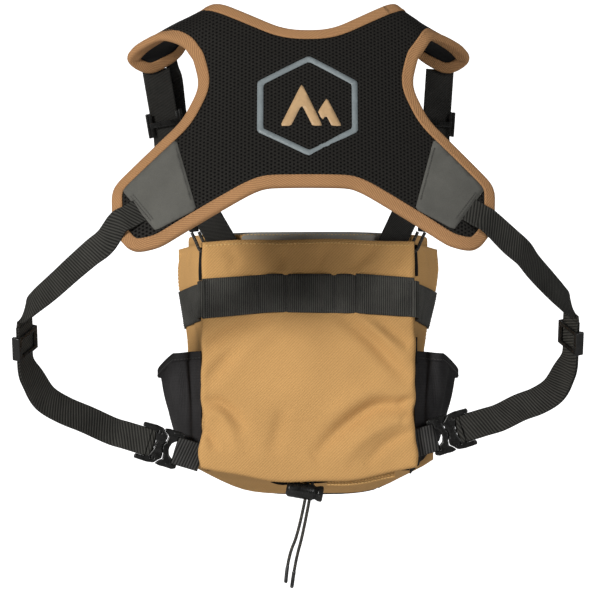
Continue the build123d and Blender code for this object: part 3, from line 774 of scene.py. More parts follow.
def fill_flat(loops, low, high, spacing, clear):
    """(points, faces) of triangles inside the first loop, on a staggered grid clear of all loops."""
    points, ring = [], []
    for loop in loops:
        base = len(points)
        points += [tuple(p) for p in loop]
        ring += [(base + i, base + (i + 1) % len(loop)) for i in range(len(loop))]
    tree = tree_of(points)
    for i, y in enumerate(np.arange(low[1], high[1], spacing * 0.87)):
        for x in np.arange(low[0], high[0], spacing) + (i % 2) * spacing / 2:
            if tree.find((x, y, 0))[2] > spacing * clear:
                points.append((x, y))
    area = [list(range(len(loops[0])))]
    filled = geometry.delaunay_2d_cdt([Vector(p) for p in points], ring, area, 1, 1e-4)
    return [vec(*p) for p in filled[0]], [tuple(f) for f in filled[2]]


def arm_uv(side, t, wide):
    """Where the cloth of an arm lies in the weave: it runs on from the yoke's upper corner."""
    length = 105 * t
    across = wide - 0.5
    return side * (83 + across * 30 + length * 0.75) * MM, (80 + length * 0.5 - across * 48) * MM


def padded_yoke():
    """The yoke's middle sheet with both arms as one mesh, facing away from the wearer."""
    weights = np.linspace(0, 1, ARM_COLUMNS)
    left_join = [between(vec(*NECK_CORNER), vec(*ARM_CORNER), w) for w in weights]
    right_join = [p * vec(-1, 1) for p in left_join][::-1]
    loop = list(NECK_RUN[:-1]) + left_join[:-1] + list(BODY_RUN[:-1]) + right_join[:-1]
    flat, faces = fill_flat([loop], YOKE_LOW, YOKE_HIGH, GRID, 0.6)
    verts = [on_yoke(*p) for p in flat]
    uvs = [tuple(p * MM) for p in flat]
    for side in (-1, 1):
        base = len(verts)
        for i in range(ARM_ROWS + CAP_ROWS):
            for w in weights:
                t, wide = arm_cell(i, w)
                verts.append(on_arm(side, t, wide)[0])
                uvs.append(arm_uv(side, t, wide))
        faces += grid_faces(ARM_ROWS + CAP_ROWS, ARM_COLUMNS, base=base)
    sheet = make_mesh("yoke_sheet", verts, faces, uvs)
    work = bmesh.new()
    work.from_mesh(sheet.data)
    bmesh.ops.remove_doubles(work, verts=work.verts, dist=0.9 * MM)
    bmesh.ops.recalc_face_normals(work, faces=work.faces)
    behind = [f for f in work.faces if f.calc_center_median().y < -0.05]
    if sum(f.normal.dot(Vector(YOKE_OUT)) * f.calc_area() for f in behind) < 0:
        bmesh.ops.reverse_faces(work, faces=work.faces)
    work.to_mesh(sheet.data)
    work.free()
    return sheet


def edge_path():
    """The whole rim, closed: (middle point, direction inwards, outward normal) at each sample."""
    samples = []

    def flat_run(points):
        travel = np.gradient(points, axis=0)
        for p, way in zip(points, travel):
            inward = unit(vec(-way[1], way[0]))
            here = on_yoke(*p)
            samples.append((here, unit(on_yoke(*(p + inward)) - here), yoke_normal(p[0])))

    def arm_run(side, rows, w):
        for i in rows:
            t, wide = arm_cell(i, w)
            here, normal = on_arm(side, t, wide)
            t_in, w_in = t, 0.5 + (wide - 0.5) * 0.8
            if i >= ARM_ROWS:
                t_in = t + (ROUND_FROM - t) * 0.2
            inner, _ = on_arm(side, t_in, w_in)
            samples.append((here, unit(inner - here), normal))

    last = ARM_ROWS + CAP_ROWS
    flat_run(NECK_RUN)
    arm_run(-1, range(1, last), 0)
    arm_run(-1, reversed(range(1, last)), 1)
    flat_run(BODY_RUN)
    arm_run(1, range(1, last), 1)
    arm_run(1, reversed(range(1, last)), 0)
    places, inward, normal = [np.array(column) for column in zip(*samples)]
    kernel = np.array([1, 2, 3, 2, 1]) / 9

    def soften(rows, rounds):
        for _ in range(rounds):
            rows = sum(k * np.roll(rows, shift, axis=0) for k, shift in zip(kernel, (-2, -1, 0, 1, 2)))
        return rows

    rim = closed(soften(places, 1))
    turned = closed(np.hstack([soften(inward, 2), soften(normal, 3)]))
    at = along(rim)
    where = np.linspace(0, at[-1], int(at[-1] / RIM_STEP), endpoint=False)
    places, turned = interp_rows(where, at, rim), interp_rows(where, at, turned)
    travel = unit_rows(np.roll(places, -1, axis=0) - np.roll(places, 1, axis=0))
    normal = square_to(turned[:, 3:], travel)
    inward = np.cross(normal, travel)
    inward *= np.sign(np.sum(inward * turned[:, :3], axis=1))[:, None]
    return places - normal * PAD_THICK / 2, inward, normal


EDGE, EDGE_IN, EDGE_OUT = edge_path()


def half_thick(reach):
    """Half the pad's thickness at a distance from its bound edge: foam swells away from the tape."""
    reach = np.asarray(reach, float)
    return 2.5 + 1.15 * (1 - np.exp(-(reach / 7.0) ** 2)) + 0.9 * np.clip((reach - 10) / 22, 0, 1)


EDGE_TREE = tree_of(EDGE)


def yoke_reach(points):
    return np.array([EDGE_TREE.find(p)[2] for p in points])


def sheet_to_pad(sheet):
    """Thickens the sheet into a closed pad: mesh face outside, lining towards the wearer."""
    mesh = sheet.data
    count = len(mesh.vertices)
    mid = np.array([vec(v.co) / MM for v in mesh.vertices])
    normal = np.array([vec(v.normal) for v in mesh.vertices])
    mid = mid - normal * PAD_THICK / 2
    reach = yoke_reach(mid)
    half = half_thick(reach) - 0.25
    ripple = 0.35 * waves(mid[:, 0] / 17, mid[:, 2] / 23) * np.clip((reach - 8) / 15, 0, 1)
    top = mid + normal * (half + ripple)[:, None]
    foot = mid - normal * half[:, None]
    work = bmesh.new()
    work.from_mesh(mesh)
    layer = work.loops.layers.uv.active
    uv_at = {}
    for face in work.faces:
        for loop in face.loops:
            uv_at[loop.vert.index] = tuple(loop[layer].uv)
    faces = [[v.index for v in f.verts] for f in work.faces]
    rim = [[v.index for v in e.verts] for e in work.edges if e.is_boundary]
    directed = {(a, b) for ring in faces for a, b in zip(ring, ring[1:] + ring[:1])}
    work.free()
    verts = list(top) + list(foot)
    uvs = [uv_at.get(i, (0, 0)) for i in range(count)] * 2
    all_faces = faces + [[i + count for i in reversed(f)] for f in faces]
    for a, b in rim:
        if (a, b) not in directed:
            a, b = b, a
        all_faces.append([b, a, a + count, b + count])
    kinds = [0] * len(faces) + [1] * (len(faces) + len(rim))
    pad = make_mesh("yoke_pad", verts, all_faces, uvs, [MESH, LINING], kinds)
    bpy.data.objects.remove(sheet)
    return pad


def binding_profile():
    """The tape folded over the rim, from its outer edge on the face to its edge on the lining."""
    face = []
    for reach in (9.6, 9.2, 7.2, 5.2, 3.2, 1.6):
        rise = 0.25 if reach == 9.6 else 1.0
        face.append((reach, float(half_thick(reach)) + rise))
    nose = [(0.2, 3.0), (-0.75, 2.0), (-1.15, 0.7)]
    outer = face + nose
    outer += [(d, -h) for d, h in reversed(outer)]
    inner = [(9.3, -float(half_thick(9.3)) + 0.1), (4.0, -float(half_thick(4)) + 0.05), (0.6, -1.6)]
    inner += [(d, -h) for d, h in reversed(inner)]
    return outer + inner


def on_rim(reach, rise):
    """Points and outward directions of a line that runs round the rim at this reach."""
    points = EDGE + EDGE_IN * reach + EDGE_OUT * (float(half_thick(reach)) + rise)
    return closed(points), closed(EDGE_OUT)


yoke_pad = sheet_to_pad(padded_yoke())
place(yoke_pad, "harness", "black_mesh", "yoke_mesh_panel", "yoke_foam", "yoke_lining", "left_shoulder_pad",
      "right_shoulder_pad")

binding = sweep_profile("yoke_binding", EDGE, EDGE_IN, EDGE_OUT, binding_profile(), TAPE, ring=True)
place(binding, "harness", "tan_binding", "neck_binding", "hem_binding", "left_armhole_binding",
      "right_armhole_binding", "left_shoulder_binding", "right_shoulder_binding")
stitches("binding_stitching", "harness", "tan_binding", [on_rim(7.9, 0.92)], TAN_THREAD, 2.9, 2.0, 0.24, 0.05)


# ---- what is sewn or printed on the yoke ----------------------------------------------------------
def flat_piece(name, outline, low, high, material, spacing=4.0, holes=(), edge_drop=0.5):
    """A thin cloth or print cut to a flat outline, following the yoke from low to high above its face."""
    loops = [even(closed(loop), spacing)[:-1] for loop in [outline, *holes]]
    flat, faces = fill_flat(loops, np.min(outline, axis=0), np.max(outline, axis=0), spacing, 0.55)
    faces = [f for f in faces if not any(inside_loop(sum(flat[i] for i in f) / len(f), h) for h in loops[1:])]
    used = sorted({i for f in faces for i in f})
    remap = {old: new for new, old in enumerate(used)}
    faces = [[remap[i] for i in f] for f in faces]
    flat = [flat[i] for i in used]
    edges = {}
    for face in faces:
        for a, b in zip(face, face[1:] + face[:1]):
            edges[(a, b)] = edges.get((a, b), 0) + 1
    rim = [(a, b) for a, b in edges if (b, a) not in edges]
    on_edge = {i for e in rim for i in e}
    surface = face_height(flat)
    count = len(flat)
    verts = []
    for i, p in enumerate(flat):
        drop = edge_drop * (high - low) if i in on_edge else 0
        verts.append(on_yoke(p[0], p[1], surface[i] + high - drop))
    verts += [on_yoke(p[0], p[1], height + low) for p, height in zip(flat, surface)]
    all_faces = faces + [[i + count for i in reversed(f)] for f in faces]
    all_faces += [[b, a, a + count, b + count] for a, b in rim]
    return outward_normals(make_mesh(name, verts, all_faces, [tuple(p * MM) for p in flat] * 2, [material]))


def inside_loop(point, loop):
    x, y = point
    inside = False
    for (x0, y0), (x1, y1) in zip(loop, np.roll(loop, -1, axis=0)):
        if (y0 > y) != (y1 > y) and x < (x1 - x0) * (y - y0) / (y1 - y0) + x0:
            inside = not inside
    return inside


def face_height(flat):
    """Height of the pad's face above the bent sheet at flat points."""
    reach = yoke_reach([on_yoke(p[0], p[1], -PAD_THICK / 2) for p in flat])
    return half_thick(reach) - 0.25 - PAD_THICK / 2


def flat_line(points, rise):
    """A line on the yoke's face through flat points, as points and outward directions."""
    dense = even(np.asarray(points, float), 2.0)
    heights = face_height(dense)
    line = np.array([on_yoke(p[0], p[1], h + rise) for p, h in zip(dense, heights)])
    return line, np.array([yoke_normal(p[0]) for p in dense])


# The patch is tucked under the tape along the armhole and the hem.
PATCH = [(-111, -26), (-93, -97), (-127, -113.7), (-156, -69.7)]
PATCH_SEAMS = [(2, 3, 2.2), (2, 3, 4.6), (0, 1, 2.2)]  # from corner to corner, and how far inside the edge
SEAM_SHORT = 9.0  # a seam stops this far from the corner
for side_name, side in SIDES.items():
    corners = [vec(p) * vec(-side, 1) for p in PATCH]
    patch = flat_piece(f"{side_name}_wing_patch", round_corners(corners, 1.5, 2), 0.05, 1.15, PATCH_CLOTH)
    place(patch, "harness", "grey_patch", *left_only(side, "wing_patches"))
    rows = []
    for a, b, inset in PATCH_SEAMS:
        start, end = corners[a], corners[b]
        way = unit(end - start)
        inwards = vec(-way[1], way[0])
        inwards *= np.sign(inwards @ (sum(corners) / 4 - start)) * inset
        rows.append(flat_line([start + inwards + way * SEAM_SHORT, end + inwards - way * SEAM_SHORT], 1.3))
    stitches(f"{side_name}_patch_stitching", "harness", "grey_patch", rows, DARK_THREAD, 2.6, 1.8, 0.28, 0.1)

BADGE_RADIUS, BADGE_FRAME = 50.0, 6.0
HIGH_PEAK = [(-24, -20), (-6, 22), (12, -20), (3, -20), (-6, 1), (-15, -20)]
LOW_PEAK = [(8, -6), (16, 8), (29, -20), (20, -20), (15, -9), (12, -15)]


def hexagon(radius):
    return [(radius * math.sin(k * math.pi / 3), radius * math.cos(k * math.pi / 3)) for k in range(6)]


badge_frame = flat_piece("badge_frame", round_corners(hexagon(BADGE_RADIUS), 3), -0.1, 0.35, GREY_PRINT, 3.0,
                         [round_corners(hexagon(BADGE_RADIUS - BADGE_FRAME), 2)])
place(badge_frame, "harness", "grey_print", "emblem_frame")
for number, peak in enumerate((HIGH_PEAK, LOW_PEAK), 1):
    badge_peak = flat_piece(f"badge_peak_{number}", round_corners(peak, 0.8, 2), -0.1, 0.35, TAN_PRINT, 3.0)
    place(badge_peak, "harness", "tan_print", *(["emblem_peaks"] if number == 1 else []))


# ---- webbing --------------------------------------------------------------------------------------
WEB_WIDE, WEB_THICK, WEB_THIN = 25.0, 1.6, 1.5
FITTING_Y = 68.2  # depth of the buckles, the tethers' fittings and the cord lock
BUCKLE_TILT = math.radians(17)
HANG = {-1: (0.0, 0.0, 0.0), 1: (12.0, 5.0, 14.0)}  # a side's lift, its tuck and its strap's own tuck
BUCKLE_CENTRE = vec(-133.5, FITTING_Y, -366)
TRIGLIDE_CENTRE = vec(-250, 2, -272)
DIP = unit((0, 0.42, -0.9075))
TRIGLIDE_OUT = unit((-0.9063, 0.3835, 0.1775))
TOWARDS_PACK = vec(math.cos(BUCKLE_TILT), 0, -math.sin(BUCKLE_TILT))
BUCKLE_UP = vec(math.sin(BUCKLE_TILT), 0, math.cos(BUCKLE_TILT))
TRIGLIDE_REACH = 19.0  # half its length and its travel
LOOP_START = 46.0
FEMALE_BAR, MALE_BAR = -8.9, 16.9
TO_FRONT, TO_REAR, UP = vec(0, 1, 0), vec(0, -1, 0), vec(0, 0, 1)


def hung(side, x, y, z, rise, tuck_share):
    """A left-side point as it hangs on this side, still drawn on the left."""
    lift, tuck, strap_tuck = HANG[side]
    return vec(x + tuck + strap_tuck * tuck_share, y, z + lift * rise)


def centre_of_buckle(side):
    return hung(side, *BUCKLE_CENTRE, 1, 0)


def centre_of_triglide(side):
    return hung(side, *TRIGLIDE_CENTRE, 0.4, 1)


def sided_strap(name, side, stations, wide, thick, material, steps=8, wobble=0.0):
    """A strap drawn on the left and set on its own side."""
    turned = [(on_side(side, c), on_side(side, o)) for c, o in stations]
    return strap(name, turned, wide, thick, material, steps, wobble)


def side_run(side):
    """From under the patch to the triglide."""
    start = centre_of_triglide(side) - DIP * (TRIGLIDE_REACH + 2.5)
    tuck = HANG[side][2]
    stations = []
    for x, y, rise in ((-136, -89.5, -1.4), (-143, -94, 0.9), (-149, -98, 2.0), (-157, -103, 3.4)):
        stations.append((on_side(side, on_yoke(-side * x, y, rise)), yoke_normal(x)))
    stations += [
        (vec(-174 + tuck * 0.15, -81, -184), (-0.52, -0.86, 0.1)),
        (vec(-187 + tuck * 0.22, -73, -194), (-0.58, -0.81, 0.1)),
        (hung(side, -203, -60, -207, 0.1, 0.3), (-0.68, -0.73, 0.1)),
        (hung(side, -222, -43, -223, 0.2, 0.6), (-0.82, -0.57, 0.05)),
        (hung(side, -240, -25, -237, 0.3, 0.9), (-0.97, -0.2, 0)),
        (start - DIP * 7, (-0.985, 0.16, 0.07)),
        (start, TRIGLIDE_OUT),
        (start + DIP * 2.3, TRIGLIDE_OUT),
    ]
    return stations


def loop_run(side, layer):
    """The doubled run from the triglide to the buckle. layer is 1 for the outer strap, -1 for the inner."""
    triglide = centre_of_triglide(side)
    end = centre_of_buckle(side) - TOWARDS_PACK * LOOP_START
    middle = [
        (hung(side, -244, 22, -306, 0.5, 0.9), vec(-0.64, 0.77, 0)),
        (hung(side, -235, 35, -322, 0.6, 0.8), vec(-0.47, 0.88, 0)),
        (hung(side, -219, 47, -333, 0.7, 0.6), vec(-0.28, 0.96, 0)),
        (hung(side, -199, 57, -342, 0.9, 0.3), vec(-0.12, 0.99, 0)),
    ]
    stations = [(triglide - DIP * TRIGLIDE_REACH, TRIGLIDE_OUT), (triglide, TRIGLIDE_OUT),
                (triglide + DIP * (TRIGLIDE_REACH + 3), TRIGLIDE_OUT)]
    stations += middle + [(end, TO_FRONT), (end + TOWARDS_PACK * 14, TO_FRONT)]
    gaps = [0.85, 0.85, 0.85, 1.5, 2.1, 2.2, 1.8, 1.2, 1.2]
    fold = centre_of_buckle(side) + TOWARDS_PACK * FEMALE_BAR
    out = [(c + unit(o) * gap * layer, o) for (c, o), gap in zip(stations, gaps)]
    return out + [(fold - TOWARDS_PACK * 5 + TO_FRONT * 2.6 * layer, TO_FRONT)]


def half_turn(side, bar_at, way):
    """Webbing round a buckle's bar. way is 1 where it turns on the pack's side of the bar, else -1."""
    centre = centre_of_buckle(side) + TOWARDS_PACK * bar_at
    stations = []
    for degrees in range(90, -91, -30):
        angle = math.radians(degrees)
        out = TO_FRONT * math.sin(angle) + TOWARDS_PACK * way * math.cos(angle)
        stations.append((centre + out * 3.0, out))
    return stations


SHOULDER_TOP, SHOULDER_KINK, SHOULDER_END = vec(-135.5, 49, -34), vec(-124, 55, -102), vec(-71, 67, -193)
SLIDER_AT, KINK_TUCK = 0.62, 0.6
CHEST_OUT = vec(0, -1, -0.1)


def shoulder_points(side):
    tuck = ARM_TUCK[side]
    return (SHOULDER_TOP + vec(tuck, 0, 0), SHOULDER_KINK + vec(tuck * KINK_TUCK, 0, 0), SHOULDER_END)


TETHER_TOP, TETHER_FOOT = vec(-118.5, 60, -36), vec(-103, FITTING_Y, -173)
TETHER_BEND = [vec(-123.5, 51, -19), vec(-121.5, 55, -27)]  # its hidden start, under the arm
PLUG_LONG, SOCKET_LONG, TETHER_WIDE = 15.0, 18.0, 11.0
BLEND_START = vec(-176, -79, -186)

for side_name, side in SIDES.items():
    upper = sided_strap(f"{side_name}_side_strap_upper", side, side_run(side), WEB_WIDE, WEB_THICK, WEB, 9)
    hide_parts(f"{side_name}_side_webbing")
    start = on_side(side, BLEND_START) * MM
    end = on_side(side, centre_of_triglide(side)) * MM
    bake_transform(upper)

    whole_loop = loop_run(side, 1) + half_turn(side, FEMALE_BAR, 1) + loop_run(side, -1)[::-1]
    loop_strap = sided_strap(f"{side_name}_side_strap_loop", side, whole_loop, WEB_WIDE, WEB_THIN, WEB, 6)
    place(loop_strap, f"{side_name}_side_strap", "black_webbing", f"{side_name}_strap_loop")

    top, kink, foot = shoulder_points(side)
    web = [top + unit(top - kink) * 6 + vec(0, 1.2, 0)] + [between(top, kink, s) for s in (0, 0.4, 0.75)]
    web += [between(kink, foot, s) for s in (0, 0.28, 0.7, 1)]
    web = [(p, CHEST_OUT) for p in web]
    shoulder = sided_strap(f"{side_name}_shoulder_strap", side, web, WEB_WIDE, WEB_THICK, WEB_FINE)
    place(shoulder, "harness", "black_webbing", f"{side_name}_shoulder_webbing")

    tether_end = TETHER_FOOT - unit(TETHER_FOOT - TETHER_TOP) * (PLUG_LONG + SOCKET_LONG + 0.8)
    line = TETHER_BEND + [between(TETHER_TOP, tether_end, s) for s in (0, 0.25, 0.5, 0.75, 1)]
    line = [(p, TO_REAR) for p in line]
    tether = sided_strap(f"{side_name}_tether_strap", side, line, TETHER_WIDE, WEB_THIN, WEB_FINE, 6, 0.6)
    place(tether, "harness", "black_webbing", *left_only(side, "tether_webbings"))

    tab = [centre_of_buckle(side) + TOWARDS_PACK * reach + TO_REAR * gap
           for reach, gap in ((38.5, 0.8), (30, 0.9), (23, 2.3))]
    turn = half_turn(side, MALE_BAR, -1)[::-1]
    back = [(p * vec(1, -1, 1) + TO_FRONT * 2 * FITTING_Y, TO_FRONT) for p in tab[::-1]]
    stations = [(p, TO_REAR) for p in tab] + turn + back
    tab_strap = sided_strap(f"{side_name}_buckle_tab", side, stations, WEB_WIDE, WEB_THIN, WEB_TAB, 6)
    place(tab_strap, "harness", "black_webbing", *left_only(side, "buckle_tabs"))


# ---- pack -----------------------------------------------------------------------------------------
BACK_Y, LINING_Y = 58.0, 63.2
RELIEF_GAIN = 1.35
BAND_Z = -231.0
TOP_Z = -186.0
REAR_Y, FRONT_Y = 72.5, 157.5
REAR_HALF, FRONT_HALF = 97.0, 124.0
TAPER, FOOT_Z = 4.0, -420.0
FLOOR_REAR_Z, FLOOR_FRONT_Z = -390.0, -413.0
FLOOR_REAR_HALF, FLOOR_FRONT_HALF = 95.0, 60.0  # half width of the floor's flat part
CORNER_SLOPE, CORNER_SOFT = 30.0 / 59.0, 9.0
BACK_HALF, BACK_TOP_Z, BACK_FOOT_Z = 96.0, -182.5, -386.0
BAND_TOP = [(-96, -215.5), (-38, -211.5), (-37, -211), (42, -211), (43, -210.5), (96, -214.5)]
BAND_FOOT = [(-96, -251.5), (-38, -246), (-28, -245.5), (43, -246.5), (96, -250)]


def floor_z(x, y):
    """Height of the tub's floor, with its slanting corners rounded into it."""
    share = (y - REAR_Y) / (FRONT_Y - REAR_Y)
    flat = FLOOR_REAR_Z + (FLOOR_FRONT_Z - FLOOR_REAR_Z) * share
    over = abs(x) - (FLOOR_REAR_HALF + (FLOOR_FRONT_HALF - FLOOR_REAR_HALF) * share)
    over = CORNER_SOFT * math.log1p(math.exp(np.clip(over / CORNER_SOFT, -30, 30)))
    return flat + over * CORNER_SLOPE


def back_edge(side, z):
    """Half width of the back panel at a height: the seam puckers where the buckle tab pulls."""
    share = (z - BACK_TOP_Z) / (BACK_FOOT_Z - BACK_TOP_Z)
    base = 95.6 + 1.2 * share
    pull = 2.2 * math.exp(-((z + (352 if side < 0 else 343)) / 13) ** 2)
    out = 1.6 * math.exp(-((z + 378) / 16) ** 2)
    ripple = 0.7 * math.sin(z / 9.0 + side) + 0.4 * math.sin(z / 4.1)
    return base - pull + out + ripple * (0.3 + 0.7 * share)


def back_top(x):
    return -182.2 + 2.4 * (1 - (x / BACK_HALF) ** 2) + 0.5 * math.sin(x / 13)


def back_foot(x):
    return -398.5 + 13.5 * (x / BACK_HALF) ** 2 + 0.8 * math.sin(x / 11 + 1)


def crease(points, x, z, width, height):
    """A soft fold of this height along a line of (x, z) points, fading at both ends."""
    line = smooth_path(points, 8)
    gap = np.full(np.shape(x), 1e9)
    share = np.zeros(np.shape(x))
    for k, p in enumerate(line):
        reach = (x - p[0]) ** 2 + (z - p[1]) ** 2
        nearer = reach < gap
        gap = np.where(nearer, reach, gap)
        share = np.where(nearer, k / (len(line) - 1), share)
    return height * np.exp(-gap / width**2) * np.sin(np.pi * np.clip(0.08 + 0.92 * share, 0, 1)) ** 0.7


# Soft folds of the back panel, as it hangs: line of (x, z) points, half width and height in mm.
FOLDS = [
    ([(95, -331), (66, -329), (46, -338), (23, -356), (2, -379)], 6.5, -5.2),
    ([(96, -341), (74, -345), (48, -360), (26, -384)], 7, 3.4),
    ([(88, -318), (60, -316), (34, -328), (10, -350)], 9, 2.6),
    ([(94, -352), (70, -364), (50, -384)], 5, -2.4),
    ([(28, -247), (56, -270), (73, -289), (92, -308)], 6.5, -4.0),
    ([(40, -247), (66, -266), (94, -292)], 6, 2.2),
    ([(61, -253), (92, -276)], 5, -2.6),
    ([(-30, -248), (-60, -259), (-86, -274), (-96, -286)], 7, -3.6),
    ([(-40, -258), (-62, -276), (-84, -300), (-95, -318)], 7, -3.0),
    ([(-28, -256), (-50, -268), (-72, -290)], 8, 2.2),
    ([(-96, -328), (-82, -326), (-67, -337), (-56, -354)], 5.5, -3.2),
    ([(-96, -338), (-80, -338), (-70, -352), (-62, -376)], 6, 2.0),
    ([(-97, -350), (-88, -358), (-82, -372)], 4, -2.6),
    ([(-22, -334), (-27, -352), (-33, -377)], 7, -2.2),
    ([(-20, -188), (-24, -198), (-26, -209)], 5, -1.9),
    ([(16, -188), (12, -198), (9, -209)], 5, -1.6),
    ([(58, -188), (48, -198), (38, -209)], 6, -2.2),
    ([(-74, -188), (-66, -199), (-72, -211)], 6, -1.6),
    ([(86, -190), (78, -200), (82, -211)], 6, -1.6),
    ([(97, -322), (86, -325), (80, -330)], 3, -1.8),
    ([(97, -333), (88, -338), (83, -346)], 3, -1.6),
    ([(0, -262), (-6, -300), (-2, -344)], 26, 2.2),
]


def back_relief(x, z):
    """How far the panel stands out towards the wearer, before it is simulated."""
    relief = np.cos(x / BACK_HALF * 1.2) * np.cos((z + 290) / 110 * 1.2)
    for points, width, height in FOLDS:
        relief = relief + crease([vec(p) for p in points], x, z, width, height)
    relief = relief + 0.35 * waves(x / 14 + z / 31, z / 19 - x / 40)
    band = np.exp(-(((z - BAND_Z) / 19.0) ** 6))
    return relief * (1 - 0.85 * band)


def cloth_sim(obj, pinned, pressure, cap, shrink=-0.01, frames=18, stiffness=18, bend=0.6):
    """Lets Blender's cloth settle a mesh: gravity off, a little pressure, seams pinned, moves capped."""
    before = np.array([vec(v.co) for v in obj.data.vertices])
    group = obj.vertex_groups.new(name="pin")
    for weight in sorted(set(np.round(pinned, 2))):
        picked = [int(i) for i in np.nonzero(np.round(pinned, 2) == weight)[0]]
        if weight > 0:
            group.add(picked, float(weight), "REPLACE")
    modifier = obj.modifiers.new("cloth", "CLOTH")
    settings = modifier.settings
    settings.quality = 5
    settings.mass = 0.25
    settings.tension_stiffness = settings.compression_stiffness = stiffness
    settings.shear_stiffness = stiffness / 3
    settings.bending_stiffness = bend
    settings.tension_damping = settings.compression_damping = 8
    settings.shrink_min = shrink
    settings.use_pressure = True
    settings.uniform_pressure_force = pressure
    settings.vertex_group_mass = "pin"
    settings.effector_weights.gravity = 0
    modifier.collision_settings.use_collision = False
    scene = bpy.context.scene
    for number in range(1, frames + 1):
        scene.frame_set(number)
    settled = obj.evaluated_get(bpy.context.evaluated_depsgraph_get()).data
    after = np.array([vec(v.co) for v in settled.vertices])
    move = after - before
    reach = np.linalg.norm(move, axis=1)
    move *= np.minimum(1, cap * MM / np.maximum(reach, 1e-9))[:, None]
    obj.modifiers.clear()
    obj.vertex_groups.clear()
    obj.data.vertices.foreach_set("co", (before + move).ravel())
    obj.data.update()
    scene.frame_set(1)
    return obj


def back_panel():
    """Front and lining of the back panel as one closed pillow, with a crisp turned edge."""
    columns, rows = 92, 100
    front, uvs = [], []
    for s in np.linspace(0, 1, rows):
        for w in np.linspace(-1, 1, columns):
            z_guess = BACK_TOP_Z + (-392 - BACK_TOP_Z) * s
            x = w * back_edge(-1 if w < 0 else 1, z_guess)
            z = back_top(x) * (1 - s) + back_foot(x) * s
            edge_gap = min(1 - abs(w), s * 2.2, (1 - s) * 2.2) * BACK_HALF
            front.append((x, 2.2 * math.exp(-edge_gap / 1.6), z))
            uvs.append((x * MM, z * MM))
    x, round_in, z = np.array(front).T
    face = np.stack([x, BACK_Y - 0.2 - back_relief(x, z) * RELIEF_GAIN + round_in, z], 1)
    lining = np.stack([x * 0.992, LINING_Y - round_in * 0.6, z], 1)
    verts = np.vstack([face, lining])
    obj = make_mesh("back_panel_cloth", verts, pillow_faces(rows, columns), uvs * 2, [TWILL])
    inner = np.zeros((rows, columns), bool)
    inner[1:-1, 1:-1] = True
    free = inner.ravel() & (np.abs(z - BAND_Z) > 20) & (z < -190)
    pinned = np.ones(len(verts))
    pinned[:len(z)][free] = 0.0
    cloth_sim(obj, pinned, 0.25, 0.9, shrink=0.0)
    return outward_normals(obj)


back = back_panel()
place(back, "harness", "tan_twill", "back_panel")


def on_back(x, z, lift=0.0):
    """A point on the finished back panel's outer face."""
    hit, where, _, _ = back.ray_cast(Vector((x * MM, 0, z * MM)), Vector((0, 1, 0)))
    y = where.y / MM if hit else BACK_Y
    return vec(x, y - lift, z)


def tacked(points, out):
    """A line on cloth that faces one way, as stitches wants it."""
    return np.asarray(points, float), np.tile(vec(out), (len(points), 1))


def back_line(points, lift=0.15):
    return tacked([on_back(x, z, lift) for x, z in even(points, 1.5)], TO_REAR)


hem_line = [(x, back_top(x) - 3.6) for x in np.linspace(-93, 93, 40)]
stitches("back_hem_stitching", "harness", "tan_twill", [back_line(hem_line)], YELLOW_THREAD, 3.3, 2.3, 0.45)

BAND_MARKS = np.array([-91, -45, -20.5, 23, 42.5, 91])  # x of the rows of stitches that hold the band
BAR_TACK = (2.1, 1.7, 0.3)  # pitch, length and radius of the stitches


def band_edges(x):
    """Height of the band's lower and upper edge."""
    return np.interp(x, *np.array(BAND_FOOT).T), np.interp(x, *np.array(BAND_TOP).T)


def back_band():
    """The webbing across the back panel. It bows out between its rows of stitches."""
    verts, uvs = [], []
    columns = np.unique(np.concatenate([np.arange(-95.5, 95.6, 1.2), BAND_MARKS, [-37.5, 42.5]]))
    profile = np.linspace(0, 1, 15)
    for face in (1, 0):
        for x in columns:
            low, high = band_edges(x)
            gap = np.min(np.abs(BAND_MARKS - x))
            bow = 1.5 * (1 - math.exp(-(gap / 6.0) ** 2))
            for s in profile:
                z = low + (high - low) * s
                edge = math.exp(-min(s, 1 - s) * 36 / 1.2)
                y = BACK_Y - 1.15 - bow - 0.25 * math.sin(x / 6 + 5 * s) * (bow > 0.4)
                y += 1.5 * (1 - face) + (0.5 * edge if face else -0.1 * edge)
                verts.append((x, y, z))
                uvs.append((x * MM, z * MM))
    faces = pillow_faces(len(columns), len(profile))
    return outward_normals(make_mesh("back_band", verts, faces, uvs, [WEB_BAND_PAINTED_LIGHT]))


def band_seams():
    rows = []
    for x in BAND_MARKS:
        low, high = band_edges(x)
        heights = np.linspace(low + 2, high - 2, 24)
        rows += [tacked([(x + shift, BACK_Y - 1.3, z) for z in heights], TO_REAR) for shift in (-0.8, 0.8)]
    return rows


place(back_band(), "harness", "black_webbing", "back_webbing_band")
stitches("band_stitching", "harness", "black_webbing", band_seams(), DARK_THREAD, *BAR_TACK)


# ---- tub: gussets, front and floor in one cloth shell ---------------------------------------------
TUB_INSET = 0.2
WAIST_TUCK = {-1: 6.0, 1: 9.5}
RIM_REAR_Z, RIM_CORNER_Z, RIM_FRONT_Z = -183.0, -188.5, -186.0


def waist(side, y, z):
    """How far the empty pack is drawn in at its waist, most at the front."""
    flare = (y - REAR_Y) / (FRONT_Y - REAR_Y)
    return WAIST_TUCK[side] * flare * math.exp(-((z + 292) / 50) ** 2)


def rim_z(x, y):
    """Height of the tub's top edge: it sags from the rear to the front corners."""
    flare = np.clip((y - REAR_Y) / (FRONT_Y - REAR_Y), 0, 1)
    lift = (RIM_FRONT_Z - RIM_CORNER_Z) * (1 - min(1, abs(x) / 112) ** 2) * (flare > 0.97)
    return RIM_REAR_Z + (RIM_CORNER_Z - RIM_REAR_Z) * flare + lift


